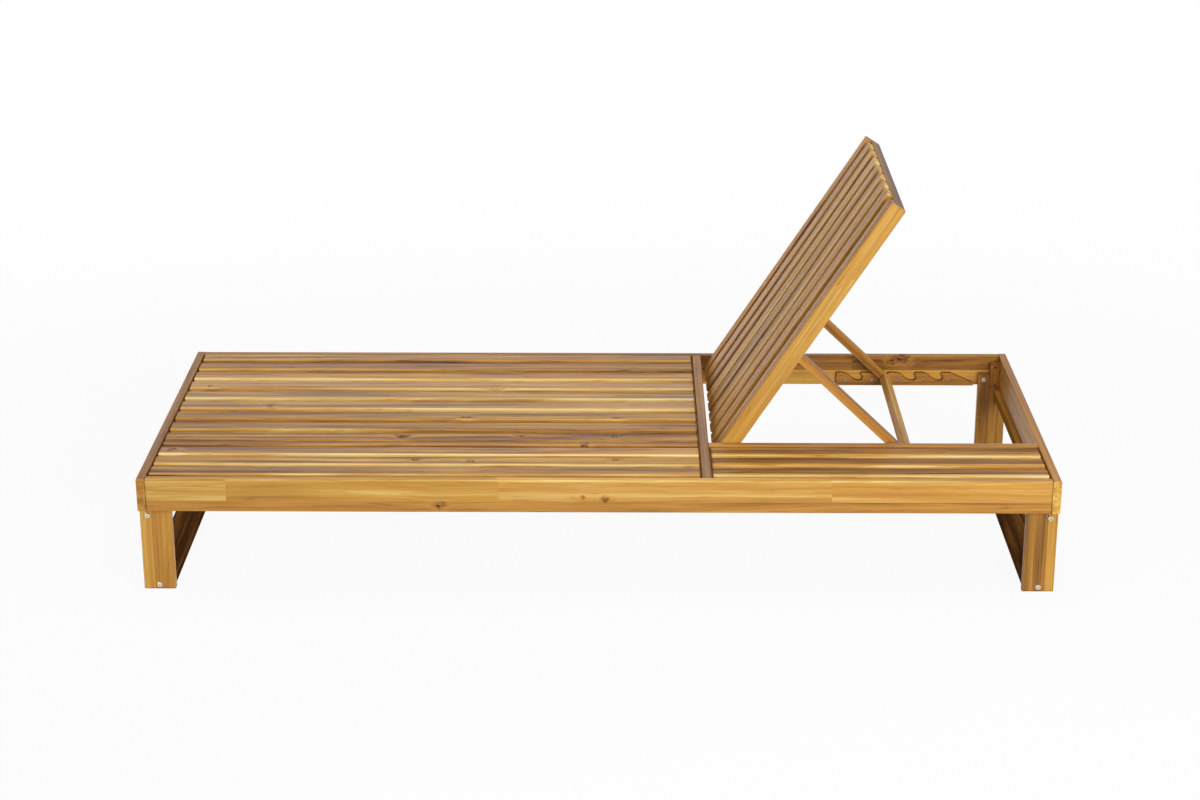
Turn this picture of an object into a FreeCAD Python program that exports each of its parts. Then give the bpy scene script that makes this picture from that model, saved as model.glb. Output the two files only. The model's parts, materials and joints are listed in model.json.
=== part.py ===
# Slatted wooden chaise longue: a rail frame on four legs, a seat of long slats, a narrow slatted shelf
# along the near side, and a backrest on two hinge bolts that a prop holds up in notched racks.
# X runs from foot to head, Y from the near to the far side and Z up, from the centre of the floor plan.
import FreeCAD, Part
import os
import Sketcher

Vector = FreeCAD.Vector
Rotation = FreeCAD.Rotation

# Driving dimensions, in millimetres and degrees
SIZES = [
    ("length", "2000", "overall length, foot to head"),
    ("width", "840", "overall width"),
    ("frame_top", "267", "height of the frame's top"),
    ("rail_tall", "75", "height of the rails"),
    ("board", "18", "thickness of the side, end and inner rails"),
    ("cross_board", "20", "thickness of the cross rail"),
    ("head_bay", "736.5", "clear length from the cross rail to the head rail"),
    ("shelf_bay", "193", "clear width from the near rail to the inner rail"),
    ("board_edge", "2", "rounding of the rails' and legs' edges"),
    ("slat_thick", "14", "thickness of the slats"),
    ("slat_edge", "3", "rounding of the slats' edges"),
    ("slat_wide", "46.2", "width of a seat slat"),
    ("first_slat_wide", "39", "width of the seat slat along the far rail"),
    ("near_slat_wide", "45", "width of the slats in the near bay"),
    ("first_slat_gap", "1", "gap from the far rail to the first slat"),
    ("last_slat_gap", "7.4", "gap from the last seat slat to the inner rail's line"),
    ("slat_end_gap", "3.5", "gap at the slats' ends"),
    ("batten_tall", "25", "height of the battens under the slats"),
    ("batten_wide", "30", "width of the battens under the slats"),
    ("batten_foot_gap", "152", "gap from the foot rail to the first seat batten"),
    ("batten_head_gap", "49.5", "gap from the last seat batten to the cross rail"),
    ("batten_step", "300", "step between the two middle seat battens"),
    ("batten_end_gap", "2", "gap from an end batten or cleat to the corner block's screws"),
    ("cleat_wide", "12", "width of the cleats under the seat slats' ends"),
    ("leg_wide", "69", "width of a leg, along the frame"),
    ("leg_thick", "18", "thickness of a leg"),
    ("tongue_wide", "27", "width of the leg's tongue, inside the side rail"),
    ("block_gap", "1", "gap from the tongue to the corner block"),
    ("block_thick", "21", "thickness of a corner block"),
    ("block_tall", "60", "height of a corner block"),
    ("stretcher_side", "24", "side of the square leg stretchers"),
    ("stretcher_inset", "5", "stretcher to the end face, and to the rails' underside"),
    ("runner_tall", "22", "height of the floor runners"),
    ("runner_wide", "62", "width of the floor runners"),
    ("tilt", "57.2", "rest angle of the backrest above level"),
    ("hinge_run", "37.5", "hinge axis from the cross rail's face"),
    ("hinge_down", "19", "hinge axis below the backrest's front"),
    ("back_deep", "40", "depth of the backrest, front to back"),
    ("back_rail", "17", "thickness of the backrest's side rails"),
    ("back_play", "2", "side clearance of the backrest in its bay"),
    ("back_tail", "24", "backrest below the hinge axis"),
    ("back_end_gap", "2", "backrest to the corner blocks when it lies flat"),
    ("back_lift", "0.5", "backrest above the racks when it lies flat"),
    ("far_edge_slat", "18.5", "width of the backrest's far edge slat"),
    ("near_edge_slat", "24.5", "width of the backrest's near edge slat"),
    ("back_cross_wide", "24.5", "width of the backrest's cross rails"),
    ("low_cross_at", "26", "low cross rail from the hinge axis"),
    ("mid_cross_at", "205", "middle cross rail from the hinge axis"),
    ("pivot_along", "270.5", "prop pivot from the hinge axis, up the backrest"),
    ("pivot_down", "8", "prop pivot behind the hinge axis"),
    ("arm_side", "20.5", "side of the square prop arms"),
    ("arm_gap", "1", "gap from an arm to the backrest's rail"),
    ("bar_wide", "23.5", "width of the prop bar, along the arms"),
    ("bar_thick", "18", "thickness of the prop bar"),
    ("bar_play", "0.5", "gap from the bar's end to a rack"),
    ("bar_lead", "5", "bar's centre before the notch's lowest point"),
    ("bar_lift", "13.5", "bar's centre above the notch's lowest point"),
    ("rack_thick", "12", "thickness of a rack"),
    ("rack_lift", "2", "rack above the rails' underside"),
    ("rack_reach", "299", "hinge axis to the racks' near end"),
    ("rack_end_gap", "12", "racks' far end to the leg"),
    ("first_valley", "56", "rack's near end to its first notch"),
    ("last_crest", "26", "last notch to the end of the last crest"),
    ("ramp_run", "57", "length of the rack's end ramp"),
    ("ramp_low", "7", "height of the rack's end"),
    ("notch_count", "4", "notches in a rack"),
    ("notch_deep", "20.5", "depth of a notch"),
    ("notch_run", "45", "length of a notch's slope"),
    ("seat_radius", "9", "radius of a notch's seat"),
    ("lip_angle", "63", "end of the seat's arc, above level"),
    ("lip_lean", "1.4", "lean of the lip above the seat"),
    ("bolt_shank", "6", "diameter of the leg bolts"),
    ("bolt_head", "12", "diameter of the leg bolts' heads"),
    ("bolt_head_tall", "4", "height of the leg bolts' heads"),
    ("bolt_socket", "2.9", "circumradius of the leg bolts' sockets"),
    ("rail_bolt_bite", "12", "rail bolt's reach into the side rail"),
    ("rail_bolt_rise", "20", "rail bolt above the rails' underside"),
    ("frame_bolt_bite", "40", "leg bolt's reach into a runner or stretcher"),
    ("nut_wide", "10", "diameter of a barrel nut"),
    ("nut_long", "16", "length of a barrel nut"),
    ("nut_in", "28", "barrel nut from the end of its piece"),
    ("screw_shank", "4", "diameter of the wood screws"),
    ("screw_head", "8", "diameter of the wood screws' heads"),
    ("screw_head_tall", "3", "height of the wood screws' heads"),
    ("screw_socket", "1.8", "circumradius of the wood screws' sockets"),
    ("screw_bite", "12", "wood screw's reach into the second piece"),
    ("screw_sink", "0.5", "rack screw's head below the rack's face"),
    ("rack_screw_in", "22", "first rack screw from the rack's near end"),
    ("rack_screw_rise", "14", "rack screws above the rack's underside"),
    ("block_screw_in", "6", "corner block screws from the block's top and bottom"),
    ("prop_screw_bite", "25", "prop screw's reach into an arm"),
    ("pin", "8", "diameter of the hinge and pivot bolts"),
    ("pin_head", "13", "diameter of the hinge and pivot bolts' heads"),
    ("pin_head_tall", "4", "height of the hinge and pivot bolts' heads"),
    ("pin_bite", "13", "hinge and pivot bolt's reach into the piece that holds it"),
    ("pin_sink", "6", "depth of the recess for a hinge bolt's head"),
    ("pin_collar", "12", "diameter of the collar beside the piece that holds the bolt"),
    ("end_play", "0.3", "clearance along a hinge or pivot bolt"),
    ("turn_play", "0.1", "running clearance on a pin's diameter"),
    ("hole_play", "0.4", "clearance on a fastener's diameter"),
]

# Counts of repeated pieces
SEAT_SLATS = 9
NEAR_SLATS = 3
RACK_SCREWS = 5

# Places worked out from the driving dimensions
PLACES = [
    ("end_in", "dims.length / 2 - dims.board"),
    ("side_in", "dims.width / 2 - dims.board"),
    ("rail_low", "dims.frame_top - dims.rail_tall"),
    ("cross_head", "end_in - dims.head_bay"),
    ("cross_foot", "cross_head - dims.cross_board"),
    ("inner_near", "dims.shelf_bay - side_in"),
    ("inner_far", "inner_near + dims.board"),
    ("slat_low", "dims.frame_top - dims.slat_thick"),
    ("seat_from", "dims.slat_end_gap - end_in"),
    ("seat_to", "cross_foot - dims.slat_end_gap"),
    ("shelf_from", "cross_head + dims.slat_end_gap"),
    ("shelf_to", "end_in - dims.slat_end_gap"),
    ("far_bay", "side_in - inner_far"),
    ("slat_room", "far_bay - dims.first_slat_gap - dims.last_slat_gap - dims.first_slat_wide"),
    ("slat_gap", f"slat_room / {SEAT_SLATS - 1} - dims.slat_wide"),
    ("slat_pitch", "dims.slat_wide + slat_gap"),
    ("first_slat_from", "side_in - dims.first_slat_gap - dims.first_slat_wide"),
    ("near_pitch", f"(dims.shelf_bay + dims.near_slat_wide) / {NEAR_SLATS + 1}"),
    ("batten_low", "slat_low - dims.batten_tall"),
    ("first_batten", "dims.batten_foot_gap - end_in"),
    ("last_batten", "cross_foot - dims.batten_head_gap - dims.batten_wide"),
    ("mid_batten", "(first_batten + last_batten) / 2"),
    ("leg_in", "dims.length / 2 - dims.leg_wide"),
    ("leg_mid", "dims.length / 2 - dims.leg_wide / 2"),
    ("leg_face", "side_in - dims.leg_thick"),
    ("tongue_end", "leg_in + dims.tongue_wide"),
    ("tongue_mid", "leg_in + dims.tongue_wide / 2"),
    ("block_from", "tongue_end + dims.block_gap"),
    ("block_mid", "(block_from + end_in) / 2"),
    ("block_face", "side_in - dims.block_thick"),
    ("batten_side", "block_face - dims.screw_head_tall - dims.batten_end_gap"),
    ("stretcher_to", "dims.length / 2 - dims.stretcher_inset"),
    ("stretcher_mid", "stretcher_to - dims.stretcher_side / 2"),
    ("stretcher_top", "rail_low - dims.stretcher_inset"),
    ("stretcher_height", "stretcher_top - dims.stretcher_side / 2"),
    ("runner_height", "dims.runner_tall / 2"),
    ("rail_bolt_height", "rail_low + dims.rail_bolt_rise"),
    ("nut_place", "leg_face - dims.nut_in"),
    ("hinge_x", "cross_head + dims.hinge_run"),
    ("hinge_z", "dims.frame_top - dims.hinge_down"),
    ("back_under", "dims.hinge_down - dims.back_deep"),
    ("back_slat_low", "dims.hinge_down - dims.slat_thick"),
    ("back_top", "block_from - dims.back_end_gap - hinge_x"),
    ("back_far", "side_in - dims.back_play"),
    ("back_far_in", "back_far - dims.back_rail"),
    ("back_near", "inner_far + dims.back_play"),
    ("back_near_in", "back_near + dims.back_rail"),
    ("crest", "hinge_z + back_under - dims.back_lift"),
    ("tongue_top", "crest - dims.back_lift"),
    ("valley_z", "crest - dims.notch_deep"),
    ("rack_low", "rail_low + dims.rack_lift"),
    ("rack_tall", "crest - rack_low"),
    ("rack_from", "hinge_x + dims.rack_reach"),
    ("rack_to", "leg_in - dims.rack_end_gap"),
    ("rack_long", "rack_to - rack_from"),
    ("rack_crest_end", "rack_long - dims.ramp_run"),
    ("notch_pitch", "(rack_crest_end - dims.last_crest - dims.first_valley) / (dims.notch_count - 1)"),
    ("slope_radius", "(dims.notch_run ^ 2 + dims.notch_deep ^ 2) / (4 * dims.notch_deep)"),
    ("lip_run", "dims.notch_run + dims.seat_radius * cos(dims.lip_angle * 1 deg)"),
    ("lip_rise", "dims.seat_radius * (1 + sin(dims.lip_angle * 1 deg))"),
    ("rack_screw_step", f"(rack_crest_end - dims.rack_screw_in) / {RACK_SCREWS - 1}"),
    ("rack_screw_height", "rack_low + dims.rack_screw_rise"),
    ("bar_x", "rack_from + dims.first_valley + notch_pitch - dims.bar_lead"),
    ("bar_z", "valley_z + dims.bar_lift"),
    ("tilt_cos", "cos(dims.tilt * 1 deg)"),
    ("tilt_sin", "sin(dims.tilt * 1 deg)"),
    ("pivot_x", "hinge_x + dims.pivot_along * tilt_cos + dims.pivot_down * tilt_sin"),
    ("pivot_z", "hinge_z + dims.pivot_along * tilt_sin - dims.pivot_down * tilt_cos"),
    ("arm_reach", "hypot(bar_x - pivot_x; pivot_z - bar_z)"),
    ("arm_slope", "atan2(bar_z - pivot_z; bar_x - pivot_x) / 1 deg"),
    ("arm_end", "arm_reach - dims.bar_wide / 2"),
    ("bar_end", "arm_reach + dims.bar_wide / 2"),
    ("arm_far", "back_far_in - dims.arm_gap"),
    ("arm_near", "back_near_in + dims.arm_gap"),
    ("bar_far", "side_in - dims.rack_thick - dims.bar_play"),
    ("bar_near", "inner_far + dims.rack_thick + dims.bar_play"),
    ("bolt_hole", "(dims.bolt_shank + dims.hole_play) / 2"),
    ("screw_hole", "(dims.screw_shank + dims.hole_play) / 2"),
    ("screw_recess", "(dims.screw_head + dims.hole_play) / 2"),
    ("screw_seat", "dims.screw_head_tall + dims.screw_sink"),
    ("nut_hole", "(dims.nut_wide + dims.hole_play) / 2"),
    ("pin_hole", "(dims.pin + dims.hole_play) / 2"),
    ("turn_hole", "(dims.pin + dims.turn_play) / 2"),
    ("pin_recess", "dims.pin_head / 2 + dims.end_play"),
]

FOOT, HEAD = -1, 1
NEAR, FAR = -1, 1

# Turns that point a piece's own Z axis along a named direction
TOWARDS = {
    "up": Rotation(),
    "down": Rotation(Vector(1, 0, 0), 180),
    "far": Rotation(Vector(1, 0, 0), -90),
    "near": Rotation(Vector(1, 0, 0), 90),
    "along": Rotation(Vector(0, 1, 0), 90),
}

doc = FreeCAD.newDocument("chaise_longue")
dims = doc.addObject("Spreadsheet::Sheet", "dims")
places = doc.addObject("Spreadsheet::Sheet", "places")
subparts = []


def fill_sheets():
    """Write the driving dimensions, then the places worked out from them."""
    for row, (alias, number, meaning) in enumerate(SIZES, 1):
        dims.set(f"A{row}", meaning)
        dims.set(f"B{row}", number)
        dims.setAlias(f"B{row}", alias)
    doc.recompute()
    for row, (alias, formula) in enumerate(PLACES, 1):
        places.set(f"A{row}", alias)
        places.set(f"B{row}", "=" + formula)
        places.setAlias(f"B{row}", alias)
    doc.recompute()


def value(formula):
    """The number that a formula of the sheets gives now, to start a sketch near its solution."""
    number = places.evalExpression(formula)
    return float(getattr(number, "Value", number))


def spread(limits):
    """The length between two limits."""
    return f"({limits[1]}) - ({limits[0]})"


def mirrored(side, low, high):
    """Two limits on the positive side, or their mirror images on the negative side."""
    if side > 0:
        return (low, high)
    return (f"-({high})", f"-({low})")


def bind_place(thing, prefix, at):
    """Bind the three coordinates of a placement to formulas."""
    for axis, formula in zip("xyz", at):
        thing.setExpression(f"{prefix}.Base.{axis}", formula)


def new_body(label, carrier="frame"):
    """An empty body in the frame, or in the tilted system of the backrest's hinge or the prop's pivot."""
    body = doc.addObject("PartDesign::Body", label)
    body.Label = label
    if carrier != "frame":
        point, angle = {"backrest": ("hinge", "dims.tilt"), "prop": ("pivot", "places.arm_slope")}[carrier]
        body.Placement = FreeCAD.Placement(Vector(), Rotation(Vector(0, -1, 0), 1))
        bind_place(body, "Placement", (f"places.{point}_x", "0", f"places.{point}_z"))
        body.setExpression("Placement.Rotation.Angle", angle)
    return body


def new_sketch(body, plane, at):
    """A sketch on one of the body's own origin planes, shifted to a bound corner point."""
    sketch = body.newObject("Sketcher::SketchObject", body.Name + "_outline")
    support = [item for item in body.Origin.OriginFeatures if item.Role == plane][0]
    sketch.AttachmentSupport = [(support, "")]
    sketch.MapMode = "FlatFace"
    bind_place(sketch, "AttachmentOffset", at)
    return sketch


def name_distance(sketch, name, kind, ends, formula):
    """Add a named distance between two points of a sketch and bind it to a formula."""
    number = sketch.addConstraint(Sketcher.Constraint(kind, *ends, value(formula)))
    sketch.renameConstraint(number, name)
    sketch.setExpression(f"Constraints.{name}", formula)


def draw_outline(sketch, corners, arcs=None):
    """A closed outline of straight runs and arcs through bound corner points.

    A corner is two formulas, or None for a coordinate on the sketch's axis. An entry of arcs makes the run
    that starts at that corner an arc: a formula for its radius, or None for a half circle centred on the
    upright axis, then about where its centre is, and whether it turns left.
    """
    arcs = arcs or {}
    points = [Vector(value(across or "0"), value(up or "0"), 0) for across, up in corners]
    count = len(points)
    starts = []
    for number, start in enumerate(points):
        end = points[(number + 1) % count]
        if number not in arcs:
            sketch.addGeometry(Part.LineSegment(start, end))
            starts.append((1, 2))
            continue
        _, (centre_x, centre_y), turns_left = arcs[number]
        centre = Vector(value(centre_x), value(centre_y), 0)
        circle = Part.Circle(centre, Vector(0, 0, 1), centre.distanceToPoint(start))
        first, last = (start, end) if turns_left else (end, start)
        sketch.addGeometry(Part.ArcOfCircle(circle, circle.parameter(first), circle.parameter(last)))
        starts.append((1, 2) if turns_left else (2, 1))
    for number in range(count):
        following = (number + 1) % count
        joint = (number, starts[number][1], following, starts[following][0])
        sketch.addConstraint(Sketcher.Constraint("Coincident", *joint))
    for number, (across, up) in enumerate(corners):
        here = (number, starts[number][0])
        if across is None and up is None:
            sketch.addConstraint(Sketcher.Constraint("Coincident", *here, -1, 1))
            continue
        for formula, kind, axis in ((across, "DistanceX", -2), (up, "DistanceY", -1)):
            if formula is None:
                sketch.addConstraint(Sketcher.Constraint("PointOnObject", *here, axis))
            else:
                name_distance(sketch, f"{kind[-1].lower()}_{number}", kind, (-1, 1, *here), formula)
    for number, (formula, _, _) in arcs.items():
        if formula is None:
            sketch.addConstraint(Sketcher.Constraint("PointOnObject", number, 3, -2))
        else:
            name_distance(sketch, f"radius_{number}", "Radius", (number,), formula)


def edges_along(shape, way):
    """Names of a shape's straight edges that run along a direction."""
    names = []
    for number, edge in enumerate(shape.Edges, 1):
        if abs(edge.tangentAt(edge.FirstParameter).dot(way)) > 0.999:
            names.append(f"Edge{number}")
    return names


def ease(body, names, radius):
    """Round named edges of the body's last feature."""
    fillet = body.newObject("PartDesign::Fillet", body.Name + "_edges")
    fillet.Base = (fillet.BaseFeature, names)
    fillet.setExpression("Radius", radius)
    doc.recompute()


def board(label, x, y, z, carrier="frame", radius="dims.board_edge", grain="x", all_round=False):
    """A rectangular board between three pairs of limits, with its edges along the grain eased, or all."""
    body = new_body(label, carrier)
    sketch = new_sketch(body, "XY_Plane", (x[0], y[0], z[0]))
    draw_outline(sketch, [(None, None), (spread(x), None), (spread(x), spread(y)), (None, spread(y))])
    pad = body.newObject("PartDesign::Pad", label + "_pad")
    pad.Profile = sketch
    pad.setExpression("Length", spread(z))
    doc.recompute()
    ways = {"x": Vector(1, 0, 0), "y": Vector(0, 1, 0), "z": Vector(0, 0, 1)}
    names = [f"Edge{number}" for number in range(1, 13)]
    if not all_round:
        names = edges_along(pad.Shape, ways[grain])
    ease(body, names, radius)
    return body


def slat(label, x, y, z, carrier="frame"):
    """A slat with every edge rounded, no more than its thickness allows."""
    return board(label, x, y, z, carrier, "min(dims.slat_edge; dims.slat_thick * 0.4)", all_round=True)


def drill(body, at, way, radius, depth):
    """Bore a round hole from a point, along a named direction of the body's own axes."""
    hole = body.newObject("PartDesign::SubtractiveCylinder", body.Name + "_hole")
    hole.Placement = FreeCAD.Placement(Vector(), TOWARDS[way])
    bind_place(hole, "Placement", at)
    hole.setExpression("Radius", radius)
    hole.setExpression("Height", depth)


def keep(thing):
    """Count an object as a sub-part that gets a file of its own."""
    subparts.append(thing)
    return thing


def group(label, pieces):
    """Separate solids that share one name."""
    together = doc.addObject("Part::Compound", label)
    together.Label = label
    together.Links = pieces
    return keep(together)


def copy_at(piece, at, way):
    """A linked copy of a fastener, with its head's underside at a point and its head facing a direction."""
    link = doc.addObject("App::Link", piece.Name + "_copy")
    link.LinkedObject = piece
    link.LinkTransform = False
    link.Placement = FreeCAD.Placement(Vector(), TOWARDS[way])
    bind_place(link, "Placement", at)
    return link


def fastener(label, kind, long, collar=None):
    """A headed bolt, pin or screw on the Z axis: shank below zero, domed head above, a socket in the head.

    A collar is a pair of formulas, its depth below the head and its length.
    """
    body = new_body(label)
    shank = {"bolt": "dims.bolt_shank", "screw": "dims.screw_shank", "pin": "dims.pin"}[kind]
    socket, sides = ("dims.screw_socket", 4) if kind == "screw" else ("dims.bolt_socket", 6)
    head_tall = f"dims.{kind}_head_tall"
    drums = [("shank", f"{shank} / 2", f"-({long})", long)]
    if collar:
        drums.append(("collar", "dims.pin_collar / 2", f"-({collar[0]}) - ({collar[1]})", collar[1]))
    drums.append(("head", f"dims.{kind}_head / 2", "0", head_tall))
    for name, radius, bottom, tall in drums:
        drum = body.newObject("PartDesign::AdditiveCylinder", f"{label}_{name}")
        drum.setExpression("Radius", radius)
        drum.setExpression("Height", tall)
        drum.setExpression("Placement.Base.z", bottom)
    doc.recompute()
    top = drum.Shape.BoundBox.ZMax
    rim = [number for number, edge in enumerate(drum.Shape.Edges, 1) if edge.CenterOfMass.z > top - 0.01]
    ease(body, [f"Edge{number}" for number in rim], f"{head_tall} * 0.4")
    recess = body.newObject("PartDesign::SubtractivePrism", label + "_socket")
    recess.Polygon = sides
    recess.setExpression("Circumradius", socket)
    recess.setExpression("Height", f"{head_tall} * 0.6")
    recess.setExpression("Placement.Base.z", f"{head_tall} * 0.4")
    return body


def make_rails():
    """The six rails of the frame. The end rails run over the side rails' ends."""
    tall = ("places.rail_low", "dims.frame_top")
    between = ("-places.end_in", "places.end_in")
    across = ("-dims.width / 2", "dims.width / 2")
    rails = {}
    for name, side in (("near", NEAR), ("far", FAR)):
        thick = mirrored(side, "places.side_in", "dims.width / 2")
        rails[name] = keep(board(f"{name}_side_rail", between, thick, tall))
    for name, end in (("foot", FOOT), ("head", HEAD)):
        thick = mirrored(end, "places.end_in", "dims.length / 2")
        rails[name] = keep(board(f"{name}_end_rail", thick, across, tall, grain="y"))
    cross = ("places.cross_foot", "places.cross_head")
    inside = ("-places.side_in", "places.side_in")
    rails["cross"] = keep(board("cross_rail", cross, inside, tall, grain="y"))
    inner = ("places.inner_near", "places.inner_far")
    rails["inner"] = keep(board("inner_rail", ("places.cross_head", "places.end_in"), inner, tall))
    return rails


def slat_limits(number):
    """Limits across the frame of a seat slat in the wide bay, counted from the far rail."""
    if number == 1:
        return ("places.first_slat_from", "places.first_slat_from + dims.first_slat_wide")
    low = f"places.first_slat_from - {number - 1} * places.slat_pitch"
    return (low, f"{low} + dims.slat_wide")


def near_slat_limits(number):
    """Limits across the frame of a slat in the near bay, counted from the inner rail."""
    low = f"places.inner_near - {number} * places.near_pitch"
    return (low, f"{low} + dims.near_slat_wide")


def make_slats():
    """Seat slats in both bays, the divider slat between the bays, and the shelf slats."""
    seat = ("places.seat_from", "places.seat_to")
    shelf = ("places.shelf_from", "places.shelf_to")
    thick = ("places.slat_low", "dims.frame_top")
    for number in range(1, SEAT_SLATS + 1):
        keep(slat(f"seat_slat_{number:02d}", seat, slat_limits(number), thick))
    for number in range(1, NEAR_SLATS + 1):
        limits = near_slat_limits(number)
        keep(slat(f"seat_slat_{SEAT_SLATS + number:02d}", seat, limits, thick))
        keep(slat(f"shelf_slat_{number}", shelf, limits, thick))
    keep(slat("seat_divider_slat", seat, ("places.inner_near", "places.inner_far"), thick))


def make_battens():
    """Cross battens that carry the slats: four under the seat and three under the shelf.

    Narrow cleats on the foot rail and the cross rail carry the seat slats' ends.
    """
    tall = ("places.batten_low", "places.slat_low")
    inside = ("-places.side_in", "places.side_in")
    between_blocks = ("-places.batten_side", "places.batten_side")
    middle_low = "places.mid_batten - dims.batten_step / 2"
    middle_high = "places.mid_batten + dims.batten_step / 2"
    seat_starts = ("places.first_batten", middle_low, middle_high, "places.last_batten")
    seat = [(start, "dims.batten_wide", inside) for start in seat_starts]
    seat.append(("-places.end_in", "dims.cleat_wide", between_blocks))
    seat.append(("places.cross_foot - dims.cleat_wide", "dims.cleat_wide", inside))
    bay = ("-places.side_in", "places.inner_near")
    end_bay = ("-places.batten_side", "places.inner_near")
    half_bay = "places.cross_head + (dims.head_bay - dims.batten_wide) / 2"
    shelf_starts = {"places.cross_head": bay, half_bay: bay, "places.end_in - dims.batten_wide": end_bay}
    shelf = [(start, "dims.batten_wide", y) for start, y in shelf_starts.items()]
    for name, battens in (("seat", seat), ("shelf", shelf)):
        pieces = []
        for number, (start, wide, y) in enumerate(battens, 1):
            x = (start, f"{start} + {wide}")
            pieces.append(board(f"{name}_batten_{number}", x, y, tall, grain="y"))
        group(f"{name}_battens", pieces)


def make_leg_frames():
    """Legs with tongues inside the side rails, runners, stretchers and corner blocks at both ends."""
    legs = {}
    runners = {}
    stretchers = {}
    blocks = {}
    across = ("-places.leg_face", "places.leg_face")
    for end_name, end in (("foot", FOOT), ("head", HEAD)):
        wide = mirrored(end, "places.leg_in", "dims.length / 2")
        tongue = mirrored(end, "places.leg_in", "places.tongue_end")
        for side_name, side in (("near", NEAR), ("far", FAR)):
            thick = mirrored(side, "places.leg_face", "places.side_in")
            leg = board(f"{end_name}_{side_name}_leg", wide, thick, ("0", "places.rail_low"), grain="z")
            stub = leg.newObject("PartDesign::AdditiveBox", leg.Name + "_tongue")
            bind_place(stub, "Placement", (tongue[0], thick[0], "places.rail_low"))
            stub.setExpression("Length", "dims.tongue_wide")
            stub.setExpression("Width", "dims.leg_thick")
            stub.setExpression("Height", "places.tongue_top - places.rail_low")
            legs[end, side] = keep(leg)
            x = mirrored(end, "places.block_from", "places.end_in")
            y = mirrored(side, "places.block_face", "places.side_in")
            tall = ("places.rail_low", "places.rail_low + dims.block_tall")
            blocks[end, side] = board(f"{end_name}_{side_name}_block", x, y, tall, grain="z")
        x = mirrored(end, "places.leg_mid - dims.runner_wide / 2", "places.leg_mid + dims.runner_wide / 2")
        runners[end] = keep(board(f"{end_name}_runner", x, across, ("0", "dims.runner_tall"), grain="y"))
        x = mirrored(end, "places.stretcher_to - dims.stretcher_side", "places.stretcher_to")
        tall = ("places.stretcher_top - dims.stretcher_side", "places.stretcher_top")
        stretchers[end] = board(f"{end_name}_stretcher", x, across, tall, grain="y")
    return legs, runners, stretchers, blocks


def draw_rack(body, back):
    """The rack's side view from its lower near corner: a level crest, then a ramp down to its far end."""
    sketch = new_sketch(body, "XZ_Plane", ("places.rack_from", "places.rack_low", f"-({back})"))
    corners = [(None, None), ("places.rack_long", None), ("places.rack_long", "dims.ramp_low")]
    corners += [("places.rack_crest_end", "places.rack_tall"), (None, "places.rack_tall")]
    draw_outline(sketch, corners)
    return sketch


def draw_notch(body, back):
    """One notch from its slope's start: two equal tangent arcs, then a round seat and a leaning lip."""
    start = "places.rack_from + dims.first_valley - dims.notch_run"
    sketch = new_sketch(body, "XZ_Plane", (start, "places.valley_z", f"-({back})"))
    over = "dims.notch_deep * 1.2"
    lip = "places.lip_run + dims.lip_lean"
    corners = [(None, "dims.notch_deep"), ("dims.notch_run / 2", "dims.notch_deep / 2")]
    corners += [("dims.notch_run", None), ("places.lip_run", "places.lip_rise")]
    corners += [(lip, "dims.notch_deep"), (lip, over), (None, over)]
    arcs = {
        0: ("places.slope_radius", ("0", "dims.notch_deep - places.slope_radius"), False),
        1: ("places.slope_radius", ("dims.notch_run", "places.slope_radius"), True),
        2: ("dims.seat_radius", ("dims.notch_run", "dims.seat_radius"), True),
    }
    draw_outline(sketch, corners, arcs)
    return sketch


def rack_screw_spots():
    """Places along the frame of the rack screws."""
    first = "places.rack_from + dims.rack_screw_in"
    return [f"{first} + {number} * places.rack_screw_step" for number in range(RACK_SCREWS)]


def make_rack(label, back):
    """A notched rack on a rail, between its far-side plane and its thickness before it."""
    body = new_body(label)
    outline = body.newObject("PartDesign::Pad", label + "_pad")
    outline.Profile = draw_rack(body, back)
    outline.setExpression("Length", "dims.rack_thick")
    notch = body.newObject("PartDesign::Pocket", label + "_notch")
    notch.Profile = draw_notch(body, back)
    notch.setExpression("Length", "dims.rack_thick")
    notch.Reversed = True
    doc.recompute()
    if notch.Shape.Volume > outline.Shape.Volume - 1:
        raise RuntimeError(label + ": the notch cuts nothing")
    row = body.newObject("PartDesign::LinearPattern", label + "_notches")
    row.Originals = [notch]
    row.Direction = ([item for item in body.Origin.OriginFeatures if item.Role == "X_Axis"][0], [""])
    row.setExpression("Length", "places.notch_pitch * (dims.notch_count - 1)")
    row.setExpression("Occurrences", "dims.notch_count")
    body.Tip = row
    doc.recompute()
    return keep(body)


def make_backrest():
    """The backrest in its hinge's own system: X up the backrest, Z towards its front."""
    along = ("-dims.back_tail", "places.back_top")
    deep = ("places.back_under", "dims.hinge_down")
    front = ("places.back_slat_low", "dims.hinge_down")
    behind = ("places.back_under", "places.back_slat_low")
    inside = ("places.back_near_in", "places.back_far_in")
    rails = {}
    for name, y in (("near", ("places.back_near", inside[0])), ("far", (inside[1], "places.back_far"))):
        rails[name] = keep(board(f"backrest_{name}_rail", along, y, deep, "backrest", all_round=True))
    for number in range(2, SEAT_SLATS):
        keep(slat(f"backrest_slat_{number - 1}", along, slat_limits(number), front, "backrest"))
    near_edge = (inside[0], f"{inside[0]} + dims.near_edge_slat")
    far_edge = (f"{inside[1]} - dims.far_edge_slat", inside[1])
    keep(slat("backrest_near_edge_slat", along, near_edge, front, "backrest"))
    keep(slat("backrest_far_edge_slat", along, far_edge, front, "backrest"))
    starts = {"low": "dims.low_cross_at", "middle": "dims.mid_cross_at"}
    starts["top"] = "places.back_top - dims.back_cross_wide"
    for name, start in starts.items():
        x = (start, f"{start} + dims.back_cross_wide")
        keep(board(f"backrest_{name}_cross_rail", x, inside, behind, "backrest", grain="y"))
    return rails


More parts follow.
